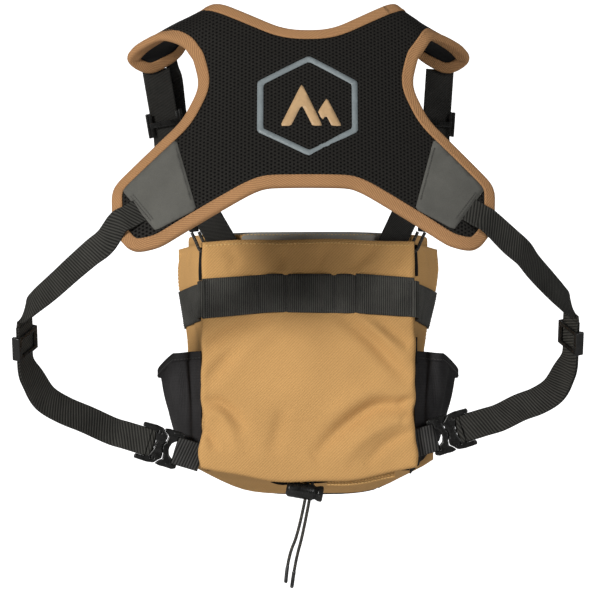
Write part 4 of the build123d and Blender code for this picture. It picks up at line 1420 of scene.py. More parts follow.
def tub_corner(side, y, z):
    """x of a gusset's outer face at a depth and height."""
    flare = (y - REAR_Y) / (FRONT_Y - REAR_Y)
    shrink = TAPER * (TOP_Z - z) / (TOP_Z - FOOT_Z)
    return side * (REAR_HALF + (FRONT_HALF - REAR_HALF) * flare - shrink - TUB_INSET - waist(side, y, z))


def wall_path(z):
    """One level of the tub's wall, left rear corner to right rear corner, with round front corners."""
    corners = [(tub_corner(-1, REAR_Y, z), REAR_Y + 0.2), (tub_corner(-1, FRONT_Y, z), FRONT_Y - 0.3),
               (tub_corner(1, FRONT_Y, z), FRONT_Y - 0.3), (tub_corner(1, REAR_Y, z), REAR_Y + 0.2)]
    radius = 11
    ways = (unit(vec(corners[0]) - vec(corners[1])), unit(vec(corners[3]) - vec(corners[2])))
    path = [vec(corners[0])]
    for corner, way_in, way_out in ((corners[1], ways[0], vec(1, 0)), (corners[2], vec(-1, 0), ways[1])):
        corner = vec(corner)
        a, b = corner + way_in * radius, corner + way_out * radius
        for t in np.linspace(0, 1, 7):
            path.append((1 - t) ** 2 * a + 2 * t * (1 - t) * corner + t * t * b)
    path.append(vec(corners[3]))
    return path


def tub_shell():
    levels = 62
    samples = 150
    rings = []
    for level in range(levels):
        share = level / (levels - 1)
        ring = resample(np.array([(*p, 0) for p in wall_path(TOP_Z + (-400 - TOP_Z) * share)]), samples)
        rings.append([(x, y, between(rim_z(x, y), floor_z(x, y) + 0.6, share)) for x, y, _ in ring])
    rings = np.array(rings)
    run = along(rings[0])
    at = run[None, :].repeat(levels, 0)
    folds = 0.7 * waves(at / 21 + rings[..., 2] / 33, rings[..., 2] / 17)
    folds += 1.3 * np.sin(at / 13 + rings[..., 2] / 26) * np.exp(-((rings[..., 2] + 400) / 26) ** 2)
    edge = np.minimum.reduce([at, run[-1] - at, (TOP_Z - rings[..., 2]) * 1.5, (rings[..., 2] + 413) * 2 + 2])
    folds *= np.clip(edge / 18, 0, 1)
    travel = np.gradient(rings, axis=1)
    outward = np.stack([-travel[..., 1], travel[..., 0], np.zeros_like(travel[..., 0])], -1)
    outward /= np.linalg.norm(outward, axis=2)[..., None]
    towards = rings - vec(0, 115, 0)
    flip = np.sign(np.sum(outward[..., :2] * towards[..., :2], axis=-1))
    outward *= flip[..., None]
    rings = rings - outward * (0.9 - folds * 0.5)[..., None]
    verts = list(rings.reshape(-1, 3))
    uvs = [(run[j] * MM, rings[i, j, 2] * MM) for i in range(levels) for j in range(samples)]
    faces = grid_faces(levels, samples)
    foot_row = (levels - 1) * samples
    half = samples // 2
    inner_rows = 26
    previous = [foot_row + j for j in range(half)]
    opposite = [foot_row + samples - 1 - j for j in range(half)]
    grid = [previous]
    for k in range(1, inner_rows):
        row = []
        for j in range(half):
            a, b = verts[previous[j]], verts[opposite[j]]
            t = k / inner_rows
            x = a[0] * (1 - t) + b[0] * t
            y = a[1] * (1 - t) + b[1] * t
            sag = -2.5 * math.sin(math.pi * t) * math.sin(math.pi * min(1, j / (half - 1)))
            verts.append(vec(x, y, floor_z(x, y) + 0.6 + sag + 0.6 * waves(x / 15, y / 12)))
            uvs.append((x * MM, y * MM))
            row.append(len(verts) - 1)
        grid.append(row)
    grid.append(opposite)
    for row, after in zip(grid, grid[1:]):
        for j in range(half - 1):
            faces.append((row[j], row[j + 1], after[j + 1], after[j]))
    shell = make_mesh("tub_shell", verts, faces, uvs, [TWILL, LINING])
    work = bmesh.new()
    work.from_mesh(shell.data)
    bmesh.ops.remove_doubles(work, verts=work.verts, dist=0.0003)
    work.to_mesh(shell.data)
    work.free()
    outward_normals(shell)
    co = np.array([vec(v.co) / MM for v in shell.data.vertices])
    pinned = np.zeros(len(co))
    pinned[(co[:, 2] > TOP_Z - 4) | (co[:, 1] < REAR_Y + 3)] = 1.0
    floor_gap = co[:, 2] - np.array([floor_z(x, y) for x, y in co[:, :2]])
    pinned[np.abs(floor_gap) < 3.0] = np.maximum(pinned[np.abs(floor_gap) < 3.0], 0.9)
    cloth_sim(shell, pinned, 0.5, 2.4, shrink=-0.008)
    solid = shell.modifiers.new("thick", "SOLIDIFY")
    solid.thickness = 1.3 * MM
    solid.offset = -1
    solid.material_offset = 1
    solid.material_offset_rim = 0
    return apply_modifiers(shell)


tub = tub_shell()
place(tub, "harness", "tan_twill", "left_gusset", "right_gusset", "front_panel", "bottom_panel")


def tub_hit(start, way):
    """Point where a line meets the tub's cloth, in millimetres."""
    hit, where, normal, _ = tub.ray_cast(Vector(vec(start) * MM), Vector(unit(way)))
    return (vec(where) / MM, vec(normal)) if hit else (vec(start), -unit(way))


def sleeve_wall():
    """Rear wall of the main compartment, behind the slot pocket: lining cloth."""
    columns, rows = 50, 44
    verts, uvs = [], []
    for layer in (0, 1):
        for s in np.linspace(0, 1, rows):
            z = between(TOP_Z - 1.0, FLOOR_REAR_Z + 1.5, s)
            for x in np.linspace(-1, 1, columns) * (REAR_HALF - TAPER * s - 1.5):
                verts.append((x, REAR_Y + 0.9 + 0.6 * waves(x / 19, z / 27) + layer * 1.2, z))
                uvs.append((x * MM, z * MM))
    return outward_normals(make_mesh("sleeve_lining", verts, pillow_faces(rows, columns), uvs, [LINING]))


place(sleeve_wall(), "harness", "black_lining", "sleeve_wall")


def gusset_frame(side):
    """Origin, direction to the front and direction outwards of a gusset, drawn on its own side."""
    run = unit((side * (FRONT_HALF - REAR_HALF), FRONT_Y - REAR_Y, 0))
    return vec(side * REAR_HALF, REAR_Y, 0), run, unit((side * run[1], -abs(run[0]), 0))


def on_gusset(side, reach, z, lift):
    """A point this far along the gusset from its rear edge, lifted off its finished cloth."""
    origin, run, out = gusset_frame(side)
    start = origin + run * reach + vec(0, 0, z) + out * 40
    where, _ = tub_hit(start, -out)
    return where + out * lift, out


def gusset_line(side, reach, heights, lift):
    """A line down the gusset's cloth, as points and outward directions."""
    return tuple(zip(*[on_gusset(side, reach, z, lift) for z in heights]))


BAND_SLANT = 0.11
BAND_START = [  # the band leaves the back panel here: x, y, z and its outward x and y
    (93.5, BACK_Y - 0.9, -233.4, 0.1, -1), (96.8, BACK_Y + 0.4, -233.8, 0.7, -0.7),
    (98.3, 62, -234.4, 1, -0.1), (98.6, 68, -235.2, 1, -0.1),
]


def draped_band(side):
    """The band's end round the gusset, from the back panel's edge to the front corner."""
    wide = np.linspace(-16.5, 16.5, 13)
    rows = [[(vec(side * x, y, z + w), unit((side * out_x, out_y, 0))) for w in wide]
            for x, y, z, out_x, out_y in BAND_START]
    for reach in np.linspace(3, 84, 34):
        rows.append([on_gusset(side, reach, -236 - BAND_SLANT * reach + w, 0.15) for w in wide])
    inner, outer, uvs, run = [], [], [], 0
    for row, before in zip(rows, [rows[0]] + rows[:-1]):
        run += np.linalg.norm(row[6][0] - before[6][0])
        for k, (where, out) in enumerate(row):
            inner.append(where + out * (0.1 if k in (0, 12) else 0.0))
            outer.append(inner[-1] + out * WEB_THIN)
            uvs.append((run * MM, wide[k] * MM))
    faces = pillow_faces(len(rows), len(wide))
    return outward_normals(make_mesh("side_band_strap", outer + inner, faces, uvs * 2, [WEB_BAND_PAINTED_LIGHT]))


for side_name, side in SIDES.items():
    side_band = draped_band(side)
    side_band.name = f"{side_name}_side_band_strap"
    place(side_band, "harness", "black_webbing", f"{side_name}_side_band")
    heights = np.linspace(-251, -222, 16)
    rows = [gusset_line(side, reach, heights - BAND_SLANT * reach, 1.7) for reach in (3.0, 81.0)]
    stitches(f"{side_name}_side_band_stitching", "harness", "black_webbing", rows, DARK_THREAD, *BAR_TACK)


# ---- stretch pockets ------------------------------------------------------------------------------
# Outline of a pocket seen from above, as (distance along the gusset, distance out), mouth and foot.
MOUTH = [(5, 0.6), (8, 5), (11, 9), (9, 13), (9, 19), (13, 23), (26, 24.5), (46, 24.5), (66, 23.5), (76, 20),
         (79, 10), (78, 0.6)]
FOOT = [(7, 0.6), (9, 4), (12, 7), (12, 9.5), (14, 12), (19, 13.5), (30, 14), (46, 12.5), (62, 9), (72, 6),
        (76, 3), (76, 0.6)]
POCKET_TOP, POCKET_FOOT = -282.0, -364.0
POCKET_HEM = [(-1.5, 0.7), (-1.3, -5.5), (-0.9, -6), (0.35, -6), (0.75, -5.4), (0.85, 0.5), (0.3, 1.4),
              (-0.9, 1.4)]


def side_pocket(side):
    """The pocket's cloth, its hem and the seam of the hem."""
    samples, levels, tuck_levels = 96, 44, 8
    mouth, foot = [resample(smooth_path([(*p, 0) for p in outline], 8), samples) for outline in (MOUTH, FOOT)]
    verts, uvs = [], []
    girth = along(mouth)
    for level in range(levels + tuck_levels):
        h = min(1, level / levels)
        tuck = max(0, level - levels) / tuck_levels
        for k in range(samples):
            reach, away, _ = between(mouth[k], foot[k], h)
            swell = 1.6 * math.sin(math.pi * h) * math.sin(math.pi * k / (samples - 1))
            ripple = 1.9 * math.sin(k / 4.4 + 2.4 * h) * math.sin(math.pi * min(1, h * 1.3))
            ripple -= 2.6 * math.exp(-((k - 17 - 4 * h) / 3.0) ** 2) * math.sin(math.pi * min(1, 0.1 + h))
            ripple += 0.7 * math.exp(-((h - 0.05) / 0.06) ** 2)
            away = away + (swell + ripple) * min(1, away / 12)
            dip = 17.0 * np.clip((mouth[k][0] - 14) / 62, 0, 1) + 2.0 * (mouth[k][1] / 24)
            z = POCKET_TOP - dip * (1 - h) + (POCKET_FOOT - POCKET_TOP) * h
            away = between(away, 0.6, tuck)
            reach = reach + (46 - reach) * 0.12 * tuck
            z -= 2.5 * math.sin(tuck * math.pi / 2)
            wall, out = gusset_wall(side, reach, z)
            verts.append(wall + out * (away + waist(side, wall[1], z) * min(1, away / 8)))
            uvs.append((girth[k] * MM, z * MM))
    faces = grid_faces(levels + tuck_levels, samples)
    pocket = outward_normals(make_mesh("side_pocket_cloth", verts, faces, uvs, [KNIT]))
    centre = np.mean([vec(v.co) for v in pocket.data.vertices], axis=0)
    if sum(p.normal.dot(p.center - Vector(centre)) * p.area for p in pocket.data.polygons) < 0:
        pocket.data.flip_normals()
    thick = pocket.modifiers.new("thick", "SOLIDIFY")
    thick.thickness = 1.1 * MM
    thick.offset = -1
    apply_modifiers(pocket)
    rim = np.array(verts[:samples])
    travel = unit_rows(np.gradient(rim, axis=0))
    up = square_to(np.tile(UP, (samples, 1)), travel)
    away = np.cross(travel, up)
    away *= np.sign(np.sum(away * (rim - rim.mean(axis=0)), axis=1).mean())
    hem_tape = sweep_profile("side_pocket_hem", rim, away, up, POCKET_HEM, KNIT)
    return pocket, hem_tape, (rim + up * -4.6 + away * 0.75, away)


def gusset_wall(side, reach, z):
    """The unbulged gusset plane at a distance from its rear edge."""
    _, run, out = gusset_frame(side)
    y = REAR_Y + reach * run[1]
    return vec(tub_corner(side, y, z), y, z), out


for side_name, side in SIDES.items():
    pocket, hem_tape, seam = side_pocket(side)
    pocket.name, hem_tape.name = f"{side_name}_pocket_cloth", f"{side_name}_pocket_hem"
    place(pocket, "harness", "black_stretch", f"{side_name}_side_pocket")
    place(hem_tape, "harness", "black_stretch")
    stitches(f"{side_name}_pocket_stitching", "harness", "black_stretch", [seam], DARK_THREAD, 3.0, 2.0, 0.26)


# ---- lid ------------------------------------------------------------------------------------------
LID_LOW, LID_HIGH = -184.7, -176.0
LID_REAR = 70.7
LID_FRONT_HALF = 112.8
LID_MIDDLE = vec(0, 116)
LID_LEVELS = [  # how far in from the outline, and the height
    (0.6, LID_LOW - 1.8), (0.0, LID_LOW - 0.6), (-0.1, LID_LOW + 4.0), (0.3, LID_HIGH - 1.6),
    (1.4, LID_HIGH - 0.3),
]
for t in (0.05, 0.12, 0.22, 0.35, 0.5, 0.68):
    LID_LEVELS.append((1.4 + 60 * t, LID_HIGH - 0.3 + 4.2 * (1 - (1 - t) ** 2)))
GREY_FROM_LEVEL = 6


def lid_outline(inset):
    """Closed outline of the lid seen from above, with round corners."""
    rear, front = REAR_HALF - 2 - inset, LID_FRONT_HALF - inset
    y0, y1 = LID_REAR + inset, FRONT_Y - 0.2 - inset
    return round_corners([(-rear, y0), (rear, y0), (front, y1), (-front, y1)], 8.5, 6)


def lid_piece():
    """A soft padded lid: rounded twill sides, a crowned grey top and a lining below that shows at the rear.
    """
    samples = 190
    verts, uvs = [], []
    ring = resample(np.array([(*p, 0) for p in closed(lid_outline(0))]), samples + 1)[:-1, :2]
    for inset, z in LID_LEVELS:
        for p in ring:
            shrink = min(1.0, inset / 78)
            x, y = p + unit(LID_MIDDLE - p) * inset if inset < 3 else between(p, LID_MIDDLE, shrink)
            verts.append((x, y, z + 0.5 * waves(x / 17, y / 13) * min(1, max(0, inset) / 6)))
            uvs.append((x * MM, (y + z) * MM))
    rows = len(LID_LEVELS)
    faces = grid_faces(rows, samples, False, True)
    for z, row in ((LID_HIGH + 4.0, rows - 1), (LID_LOW - 1.9, 0)):
        verts.append((*LID_MIDDLE, z))
        uvs.append((0, 0.1))
        tip = len(verts) - 1
        faces += [(row * samples + k, row * samples + (k + 1) % samples, tip) for k in range(samples)]
    rear = [abs(p[0] - 3) < 66 and p[1] < LID_REAR + 6 for p in ring]
    kinds = [int(row >= GREY_FROM_LEVEL or rear[k]) for row in range(rows - 1) for k in range(samples)]
    kinds += [1] * (2 * samples)
    return outward_normals(make_mesh("lid_cloth", verts, faces, uvs, [TWILL, LID_GREY], kinds))


lid = lid_piece()
place(lid, "lid", "grey_lid", "lid")
lid_ring = even(np.array([(x, y, LID_HIGH + 0.15) for x, y in closed(lid_outline(3.4))]), 2.0)
LONG_STITCH = (3.3, 2.3, 0.34)
stitches("lid_stitching", "lid", "grey_lid", [tacked(lid_ring, UP)], YELLOW_THREAD, *LONG_STITCH, 0.15)


# ---- seams of the tub -----------------------------------------------------------------------------
def front_point(x, z):
    """A point just off the cloth of the pack's front."""
    return tub_hit(vec(x, 260, z), TO_REAR)[0] + vec(0, 0.15, 0)


def seam_rows():
    rows = []
    for side in (-1, 1):
        for reach in (2.6, 74.0):
            rows.append(gusset_line(side, reach, np.arange(TOP_Z - 4, -376, -3.0), 0.15))
    for x in (-107, 107):
        rows.append(tacked([front_point(x, z) for z in np.arange(TOP_Z - 4, -380, -3.0)], TO_FRONT))
    rows.append(tacked([front_point(x, TOP_Z - 5) for x in np.arange(-106, 107, 3.0)], TO_FRONT))
    return rows


stitches("tub_stitching", "harness", "tan_twill", seam_rows(), YELLOW_THREAD, *LONG_STITCH)


# ---- small seams, lining edges and painted shade that show beside and below the back panel --------
def flat_strip(name, points, outward, wide, thick, material):
    return strap(name, [(p, outward) for p in points], wide, thick, material, 6)


# Thin strips of black lining along the gussets' rear edges: the slot's lining edge, and painted shade for the
# gap between the back panel and the gusset.
for side_name, side in SIDES.items():
    runs = [(-187.0, -217)] if side < 0 else [(-184.5, -213), (-268, -292)]
    for number, (high, low) in enumerate(runs, 1):
        line = [vec(side * (97.2 + 0.4 * math.sin(z / 7)), 71.0, z) for z in np.linspace(high, low, 7)]
        edge = flat_strip(f"{side_name}_slot_edge_{number}", line, (side * 0.25, -1, 0), 2.2, 1.2, LINING)
        place(edge, "harness", "black_lining")

HEM_OUT = (0, -1, -0.2)
hem_path = [vec(x, 66.0, back_foot(x) - 1.6 - 0.02 * (x - 22)) for x in (17, 26, 38, 52, 66, 78)]
place(flat_strip("floor_hem", hem_path, HEM_OUT, 6.0, 1.6, TWILL), "harness", "tan_twill")
hem_rows = [even([p + vec(0, -1.0, drop) for p in hem_path], 1.5) for drop in (0.6, -1.5)]
hem_rows = [tacked(row, unit(HEM_OUT)) for row in hem_rows]
stitches("floor_hem_stitching", "harness", "tan_twill", hem_rows, YELLOW_THREAD, 3.0, 2.1, 0.32)
# Two dark lenses of lining cloth at the floor's hem: the black lining of the floor pocket's opening, and
# painted shade inside it.
for number, (x0, x1, rise) in enumerate(((-34, -13, 0.0), (-7, 25, 1.6)), 1):
    outline = []
    for sign in (1, -1):
        for share in np.linspace(0, 1, 9)[::sign]:
            x = between(x0, x1, share)
            fat = 1.7 * math.sin(math.pi * np.clip(share, 0.02, 0.98)) ** 0.8
            outline.append((x, back_foot(x) - 1.6 + rise * share + sign * fat))
    lens = moved(plate([outline], -0.7, 0.7, 0.3), (0, 73.0, 0), (1, 0, 0), UP, TO_REAR)
    place(join_parts(f"floor_slit_lining_and_shade_{number}", [lens], LINING), "harness", "black_lining")

# Black tape over the floor's right corner seam, below the buckle tab.
hits = [tub_hit(vec(107.5 - drop, 20, -371 - drop), TO_FRONT)[0] for drop in np.linspace(0, 15, 7)]
tape_line = [p + TO_REAR * 1.1 for p in hits if p[1] > REAR_Y - 6]
corner_tape = flat_strip("right_corner_tape", tape_line, (0.2, -1, -0.3), 12.0, 1.3, WEB_FINE)
place(corner_tape, "harness", "black_webbing")


# ---- plastic hardware -----------------------------------------------------------------------------
def ladder(long, wide, opening, wall):
    """A webbing slider in its own frame: x across the strap, y along it, z out of it."""
    half = opening / 2
    rail = wide / 2 + 0.1
    parts = []
    for way in (-1, 1):
        x0, x1 = sorted((way * rail, way * (rail + 3)))
        parts.append(rounded_box((x0, -long / 2, -half - wall), (x1, long / 2, half + wall), 1.0, 3))
        edge_x0, edge_x1 = sorted((way * (wide / 2 - 2.6), way * (rail + 1)))
        for z0, z1 in ((half, half + wall * 0.8), (-half - wall * 0.8, -half)):
            parts.append(rounded_box((edge_x0, -long / 2 + 1, z0), (edge_x1, long / 2 - 1, z1), 0.6, 2))
        y0, y1 = sorted((way * (long / 2 - 4), way * long / 2))
        parts.append(rounded_box((-rail - 0.5, y0, -half - wall), (rail + 0.5, y1, -half), 0.7, 3))
    parts.append(rounded_box((-rail - 0.5, -2.5, half), (rail + 0.5, 2.5, half + wall), 0.7, 3))
    ridge_low, ridge_high = half + wall - 0.3, half + wall + 0.25
    for step in (-1.2, 0, 1.2):
        y0, y1 = step - 0.3, step + 0.3
        parts.append(rounded_box((1 - rail, y0, ridge_low), (rail - 1, y1, ridge_high), 0.2, 1))
    return parts


def framed(parts, centre, across, way, mirror):
    """Parts drawn with x across, y along and z outwards, set at a place on the left and mirrored if asked."""
    x_axis, y_axis = unit(across), unit(way)
    z_axis = np.cross(x_axis, y_axis)
    return [moved(part, centre, x_axis, y_axis, z_axis, mirror) for part in parts]


def both_ways(points):
    """An outline drawn for y >= 0, closed with its mirror image."""
    return points + [(x, -y) for x, y in reversed(points)]


def flipped(points, way):
    return [(x, y * way) for x, y in points]


HALF_WIDE = 17.0
BAR_RADIUS = 1.9


def bar_part(x, half):
    return tube_part([(x, y, 0) for y in np.linspace(-half, half, 9)], BAR_RADIUS, 16)


def female_parts():
    """Socket half of the buckle: x towards the pack, y up, z its thickness."""
    rim = [(-4.6, 3.0), (-7.5, 11.4), (-12.0, 12.6), (-19.8, 13.0), (-19.6, 15.6), (-17.0, 17.0),
           (-8.0, 17.2), (-1.5, 16.2), (1.6, 12.6), (4.2, 10.4), (3.7, 5.6), (2.0, 2.6)]
    radii = [2, 3, 2, 1.2, 1.2, 2.5, 5, 4, 4, 2, 3, 2]
    shell = [round_corners(both_ways(rim), radii + radii[::-1], 4)]
    for y in (-11.6, 11.9):
        shell.append(round_corners([(-6.2, y - 1.5), (-2.0, y - 1.8), (-2.0, y + 1.2), (-6.2, y + 1.5)], 1.4))
    dish = round_corners([(-3.4, 6.2), (1.4, 5.2), (1.4, -5.2), (-3.4, -6.2)], 1.6)
    parts = [plate(shell, 3.0, 4.9, 0.75), plate(shell, -4.9, -3.0, 0.75), plate([dish], 4.7, 5.15, 0.2)]
    parts.append(rounded_box((-4.9, -HALF_WIDE + 0.8, -4.3), (-2.6, HALF_WIDE - 0.8, 4.3), 0.7, 3))
    for way in (-1, 1):
        y0, y1 = sorted((way * 12.8, way * HALF_WIDE))
        ear = round_corners([(-20.2, y0), (-9.5, y0), (-9.5, y1), (-20.2, y1)], [1.5, 0.6, 0.6, 1.5])
        parts.append(plate([ear], -4.2, 4.2, 1.3))
        parts.append(rounded_box((-9.6, way * 5 - 1.2, -3.2), (3.2, way * 5 + 1.2, -2.2), 0.3, 1))
    return parts + [bar_part(FEMALE_BAR, 14)]


def male_parts():
    """Plug half: a base with a half-moon opening, two rounded horns, the webbing's bar and a guide."""
    rim = [(2.4, 2.2), (4.3, 5.5), (4.95, 10.6), (1.95, 12.9), (-0.8, 16.3), (4.0, 17.3), (8.4, 17.0),
           (15.4, 17.2), (19.2, 15.6), (18.8, 12.6), (13.6, 12.6), (13.3, 8.2), (9.8, 5.6)]
    radii = [0.3, 0.5, 0.5, 0.3, 0.8, 2, 3, 2.2, 1.6, 0.8, 0.8, 1.2, 4]
    base = round_corners(both_ways(rim + [(8.4, 1.5)]), radii + [2] + [2] + radii[::-1], 4)
    parts = [plate([base], -3.4, 3.4, 1.1)]
    ring = [(8.6, 12.6), (9.4, 15.6), (12, 16.4), (15.4, 16.2), (16.2, 13.8)]
    for way in (-1, 1):
        parts.append(plate([round_corners(flipped(ring, way), 1.2)], 3.2, 3.75, 0.25))
    for outline, radius, half, bevel in (([(-3.5, 5.4), (4.0, 6.0)], 1.0, 1.6, 0.3),
                                         ([(-6, 1.2), (-4.5, 2), (5.4, 2)], 0.5, 2.0, 0.5)):
        parts.append(plate([round_corners(both_ways(outline), radius)], -half, half, bevel))
    return parts + [bar_part(MALE_BAR, 13.8)]


def latch_parts(way):
    """A springy arm and the raised pad that is pressed. way is 1 for the upper one."""
    arm = [(4.2, 7), (4.2, 10.5), (-0.8, 11.3), (-2, 16.4), (-7, 15.0), (-8.3, 9), (-6, 8)]
    pad = [(-2.2, 16.2), (-6.9, 14.8), (-7.6, 12.2), (-2.0, 12.8)]
    return [plate([round_corners(flipped(arm, way), [0.6, 0.8, 1.6, 1.4, 1.6, 1.2, 0.8])], -2.35, 2.35, 0.55),
            plate([round_corners(flipped(pad, way), 0.8)], -2.6, 2.6, 0.4)]


def tapered_part(sections):
    """A soft-edged moulding through (height, x size, y size) sections."""
    verts, sides = [], 28
    square = 2 / 2.6 / 1.4  # below 1 the sections are fuller than an ellipse
    for height, x_size, y_size in sections:
        for a in full_turn(sides):
            c, s = math.cos(a), math.sin(a)
            x = math.copysign(abs(c) ** square, c) * x_size / 2
            verts.append((x, math.copysign(abs(s) ** square, s) * y_size / 2, height))
    return verts, tube_faces(len(sections), sides)


PLUG = [(0, 7.6, 3.6), (0.5, 8.8, 4.8), (4, 9.4, 5.2), (6.5, 9.0, 5.0), (8.5, 10.8, 6.2), (13.5, 11.8, 6.8),
        (14.9, 11.2, 6.2)]
SOCKET = [(15.5, 11.6, 5.8), (16.2, 12.8, 6.9), (19, 13, 7), (21, 12.2, 6.4), (25, 12.2, 6.3),
          (29, 12.6, 6.4), (32, 12, 6), (33.2, 11, 5)]

for side_name, side in SIDES.items():
    mirror = side > 0
    buckle_at = (centre_of_buckle(side), TOWARDS_PACK, BUCKLE_UP, mirror)
    for name, parts, body in (
        ("buckle_female", female_parts(), "side_strap"),
        ("buckle_male", male_parts(), None),
        ("upper_latch_arm", latch_parts(1), "upper_latch"),
        ("lower_latch_arm", latch_parts(-1), "lower_latch"),
    ):
        piece = join_parts(f"{side_name}_{name}_moulding", framed(parts, *buckle_at), PLASTIC)
        place(piece, f"{side_name}_{body}" if body else "harness", "black_plastic", f"{side_name}_{name}")

    top, kink, _ = shoulder_points(side)
    way = unit(kink - top)
    for name, node, parts, where in (
        ("triglide", "side_triglide", ladder(22, WEB_WIDE + 1.6, 4.2, 1.8),
         (centre_of_triglide(side), np.cross(DIP, TRIGLIDE_OUT), DIP, mirror)),
        ("slider", "shoulder_slider", ladder(22, WEB_WIDE + 1.6, 4.5, 2.0),
         (between(top, kink, SLIDER_AT), unit(np.cross(way, CHEST_OUT)), way, mirror)),
    ):
        piece = join_parts(f"{side_name}_{name}_moulding", framed(parts, *where), PLASTIC)
        place(piece, f"{side_name}_{node}", "black_plastic", f"{side_name}_{node}")

    tether_up = -unit(TETHER_FOOT - TETHER_TOP)
    x_axis = unit(vec(1, 0, 0.1) - tether_up * (vec(1, 0, 0.1) @ tether_up))
    y_axis = np.cross(tether_up, x_axis)
    for name, sections, body, nodes in (
        ("tether_plug", PLUG, f"{side_name}_tether", [f"{side_name}_tether_plug"]),
        ("tether_socket", SOCKET, "harness", left_only(side, "tether_sockets")),
    ):
        part = moved(tapered_part(sections), TETHER_FOOT, x_axis, y_axis, tether_up, mirror)
        place(join_parts(f"{side_name}_{name}_moulding", [part], PLASTIC), body, "black_plastic", *nodes)

STEEL = plastic("bright_steel", (0.50, 0.50, 0.49), 0.28)
STEEL.node_tree.nodes["Principled BSDF"].inputs["Metallic"].default_value = 1.0
# The cord lock: a bored barrel with a ringed button, both slotted for the two cords.
LOCK_CENTRE, LOCK_TILT = vec(-3, FITTING_Y, -407), math.radians(10)
LOCK_ACROSS = vec(math.cos(LOCK_TILT), 0, -math.sin(LOCK_TILT))
LOCK_UP = vec(math.sin(LOCK_TILT), 0, math.cos(LOCK_TILT))
LOCK_FRAME = (LOCK_CENTRE, LOCK_ACROSS, TO_FRONT, LOCK_UP)
BARREL_TURNED = [(-17.0, 0.01), (-17.0, 5.0), (-16.7, 5.5), (-14.9, 7.1), (-14.3, 7.3), (7.3, 7.3),
                 (8.0, 6.95), (8.0, 6.65), (4.2, 6.6), (4.2, 5.4), (-11.5, 5.4), (-11.5, 0.01)]
BUTTON_TURNED = [(-5.8, 0.01), (-5.8, 4.9), (7.8, 4.9), (7.8, 6.2), (9.1, 6.45), (9.4, 6.1), (10.1, 6.1),
                 (10.4, 6.5), (11.6, 6.5), (11.9, 6.9), (12.6, 7.1), (15.4, 7.2), (16.2, 6.6), (16.5, 5.4),
                 (16.5, 0.01)]


def turned(profile):
    """A part turned round its own x axis from (x, radius) points."""
    sides = 48
    verts = [(x, r * math.cos(a), r * math.sin(a)) for x, r in profile for a in full_turn(sides)]
    return verts, tube_faces(len(profile), sides)


def slotted(name, profile, x0, x1):
    """A turned part with a slot through it for the cords, between two places along it."""
    body = join_parts(name, [moved(turned(profile), *LOCK_FRAME)], PLASTIC)
    slot = moved(rounded_box((x0, -1.95, -12), (x1, 1.95, 12), 1.2, 3), *LOCK_FRAME)
    cutter = join_parts("cutter", [slot], PLASTIC)
    cut = body.modifiers.new("slot", "BOOLEAN")
    cut.operation = "DIFFERENCE"
    cut.object = cutter
    apply_modifiers(body)
    bpy.data.objects.remove(cutter)
    return sharpen(body)


for node, body, profile, slot_end in (("cord_lock_barrel", "cord_lock", BARREL_TURNED, 7.35),
                                      ("cord_lock_button", "cord_lock_button", BUTTON_TURNED, 10.6)):
    place(slotted(f"{node}_moulding", profile, -0.35, slot_end), body, "black_plastic", node)

for node in ("cord_lock_spring", "lid_magnets", "rim_magnets"):
    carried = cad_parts[node]
    carried.data.materials.clear()
    carried.data.materials.append(STEEL)


# ---- cords ----------------------------------------------------------------------------------------
CORD_RADIUS, BRAID_RELIEF = 1.5, 0.12
LEFT_DRAW_CORD = [(1.7, 68.2, -389.6), (-7.5, 68.2, -441.7), (-18.8, 66.5, -467.0), (-20.3, 65.0, -489.0)]
RIGHT_DRAW_CORD = [(5.4, 68.2, -390.2), (-3.8, 68.2, -442.4), (-12.0, 69.5, -471.0), (-14.9, 70.5, -494.0)]
TETHER_CORD = [(-105.2, 67.2, -173.6), (-101.4, 68.2, -181.5), (-97.8, 68.2, -190.8),
               (-91.6, 68.2, -190.6), (-94.2, 68.2, -182.5), (-98.8, 67.4, -173.0)]


def route_curve(name, points):
    """One open NURBS spline with the route's points as its control points."""
    curve = bpy.data.curves.new(name, "CURVE")
    curve.dimensions = "3D"
    spline = curve.splines.new("NURBS")
    spline.points.add(len(points) - 1)
    for point, place_at in zip(spline.points, points):
        point.co = (*(c * MM for c in place_at), 1)
    spline.order_u = 3
    spline.use_endpoint_u = True
    spline.resolution_u = 24
    return add_object(name, curve)


def route_line(points):
    """Points of the route's spline, in millimetres."""
    curve = route_curve("route", points)
    mesh = bpy.data.meshes.new_from_object(curve.evaluated_get(bpy.context.evaluated_depsgraph_get()))
    line = np.array([vec(v.co) / MM for v in mesh.vertices])
    bpy.data.objects.remove(curve)
    return line


def braided_cord(name, points):
    """A mesh tube on the route's spline, with the braid's strands standing out."""
    line = route_line(points)
    line = resample(line, max(20, int(along(line)[-1] / 0.55)))
    sides, verts, uvs = 16, [], []
    travel = np.gradient(line, axis=0)
    start = unit(np.cross(travel[0], (0, 1, 0.2)))
    for (centre, side, other), s in zip(frames_along(line, travel, start), along(line)):
        for k, a in enumerate(full_turn(sides)):
            strand = max(math.sin(4 * a + s * 2.1), math.sin(4 * a - s * 2.1))
            r = CORD_RADIUS - BRAID_RELIEF + BRAID_RELIEF * strand
            verts.append(centre + (side * math.cos(a) + other * math.sin(a)) * r)
            uvs.append((k / sides, s / (2 * math.pi * CORD_RADIUS)))
    return outward_normals(make_mesh(name, verts, tube_faces(len(line), sides), uvs, [SHEATH])), line


TIP_LONG = 15.5
for name, points in (("left_draw_cord", LEFT_DRAW_CORD), ("right_draw_cord", RIGHT_DRAW_CORD)):
    draw_cord, line = braided_cord(name + "_sheath", points)
    place(draw_cord, "harness", "black_cord", name)
    run = along(line)
    tail = line[run > run[-1] - TIP_LONG]
    tip_radius = np.full(len(tail), 1.72)
    tip_radius[:2] = 1.55
    tip_radius[-3:] = (1.7, 1.6, 1.35)
    tip = join_parts(name + "_tip", [tube_part(tail, tip_radius, 14, 0.7)], TIP)
    place(tip, "harness", "black_cord")

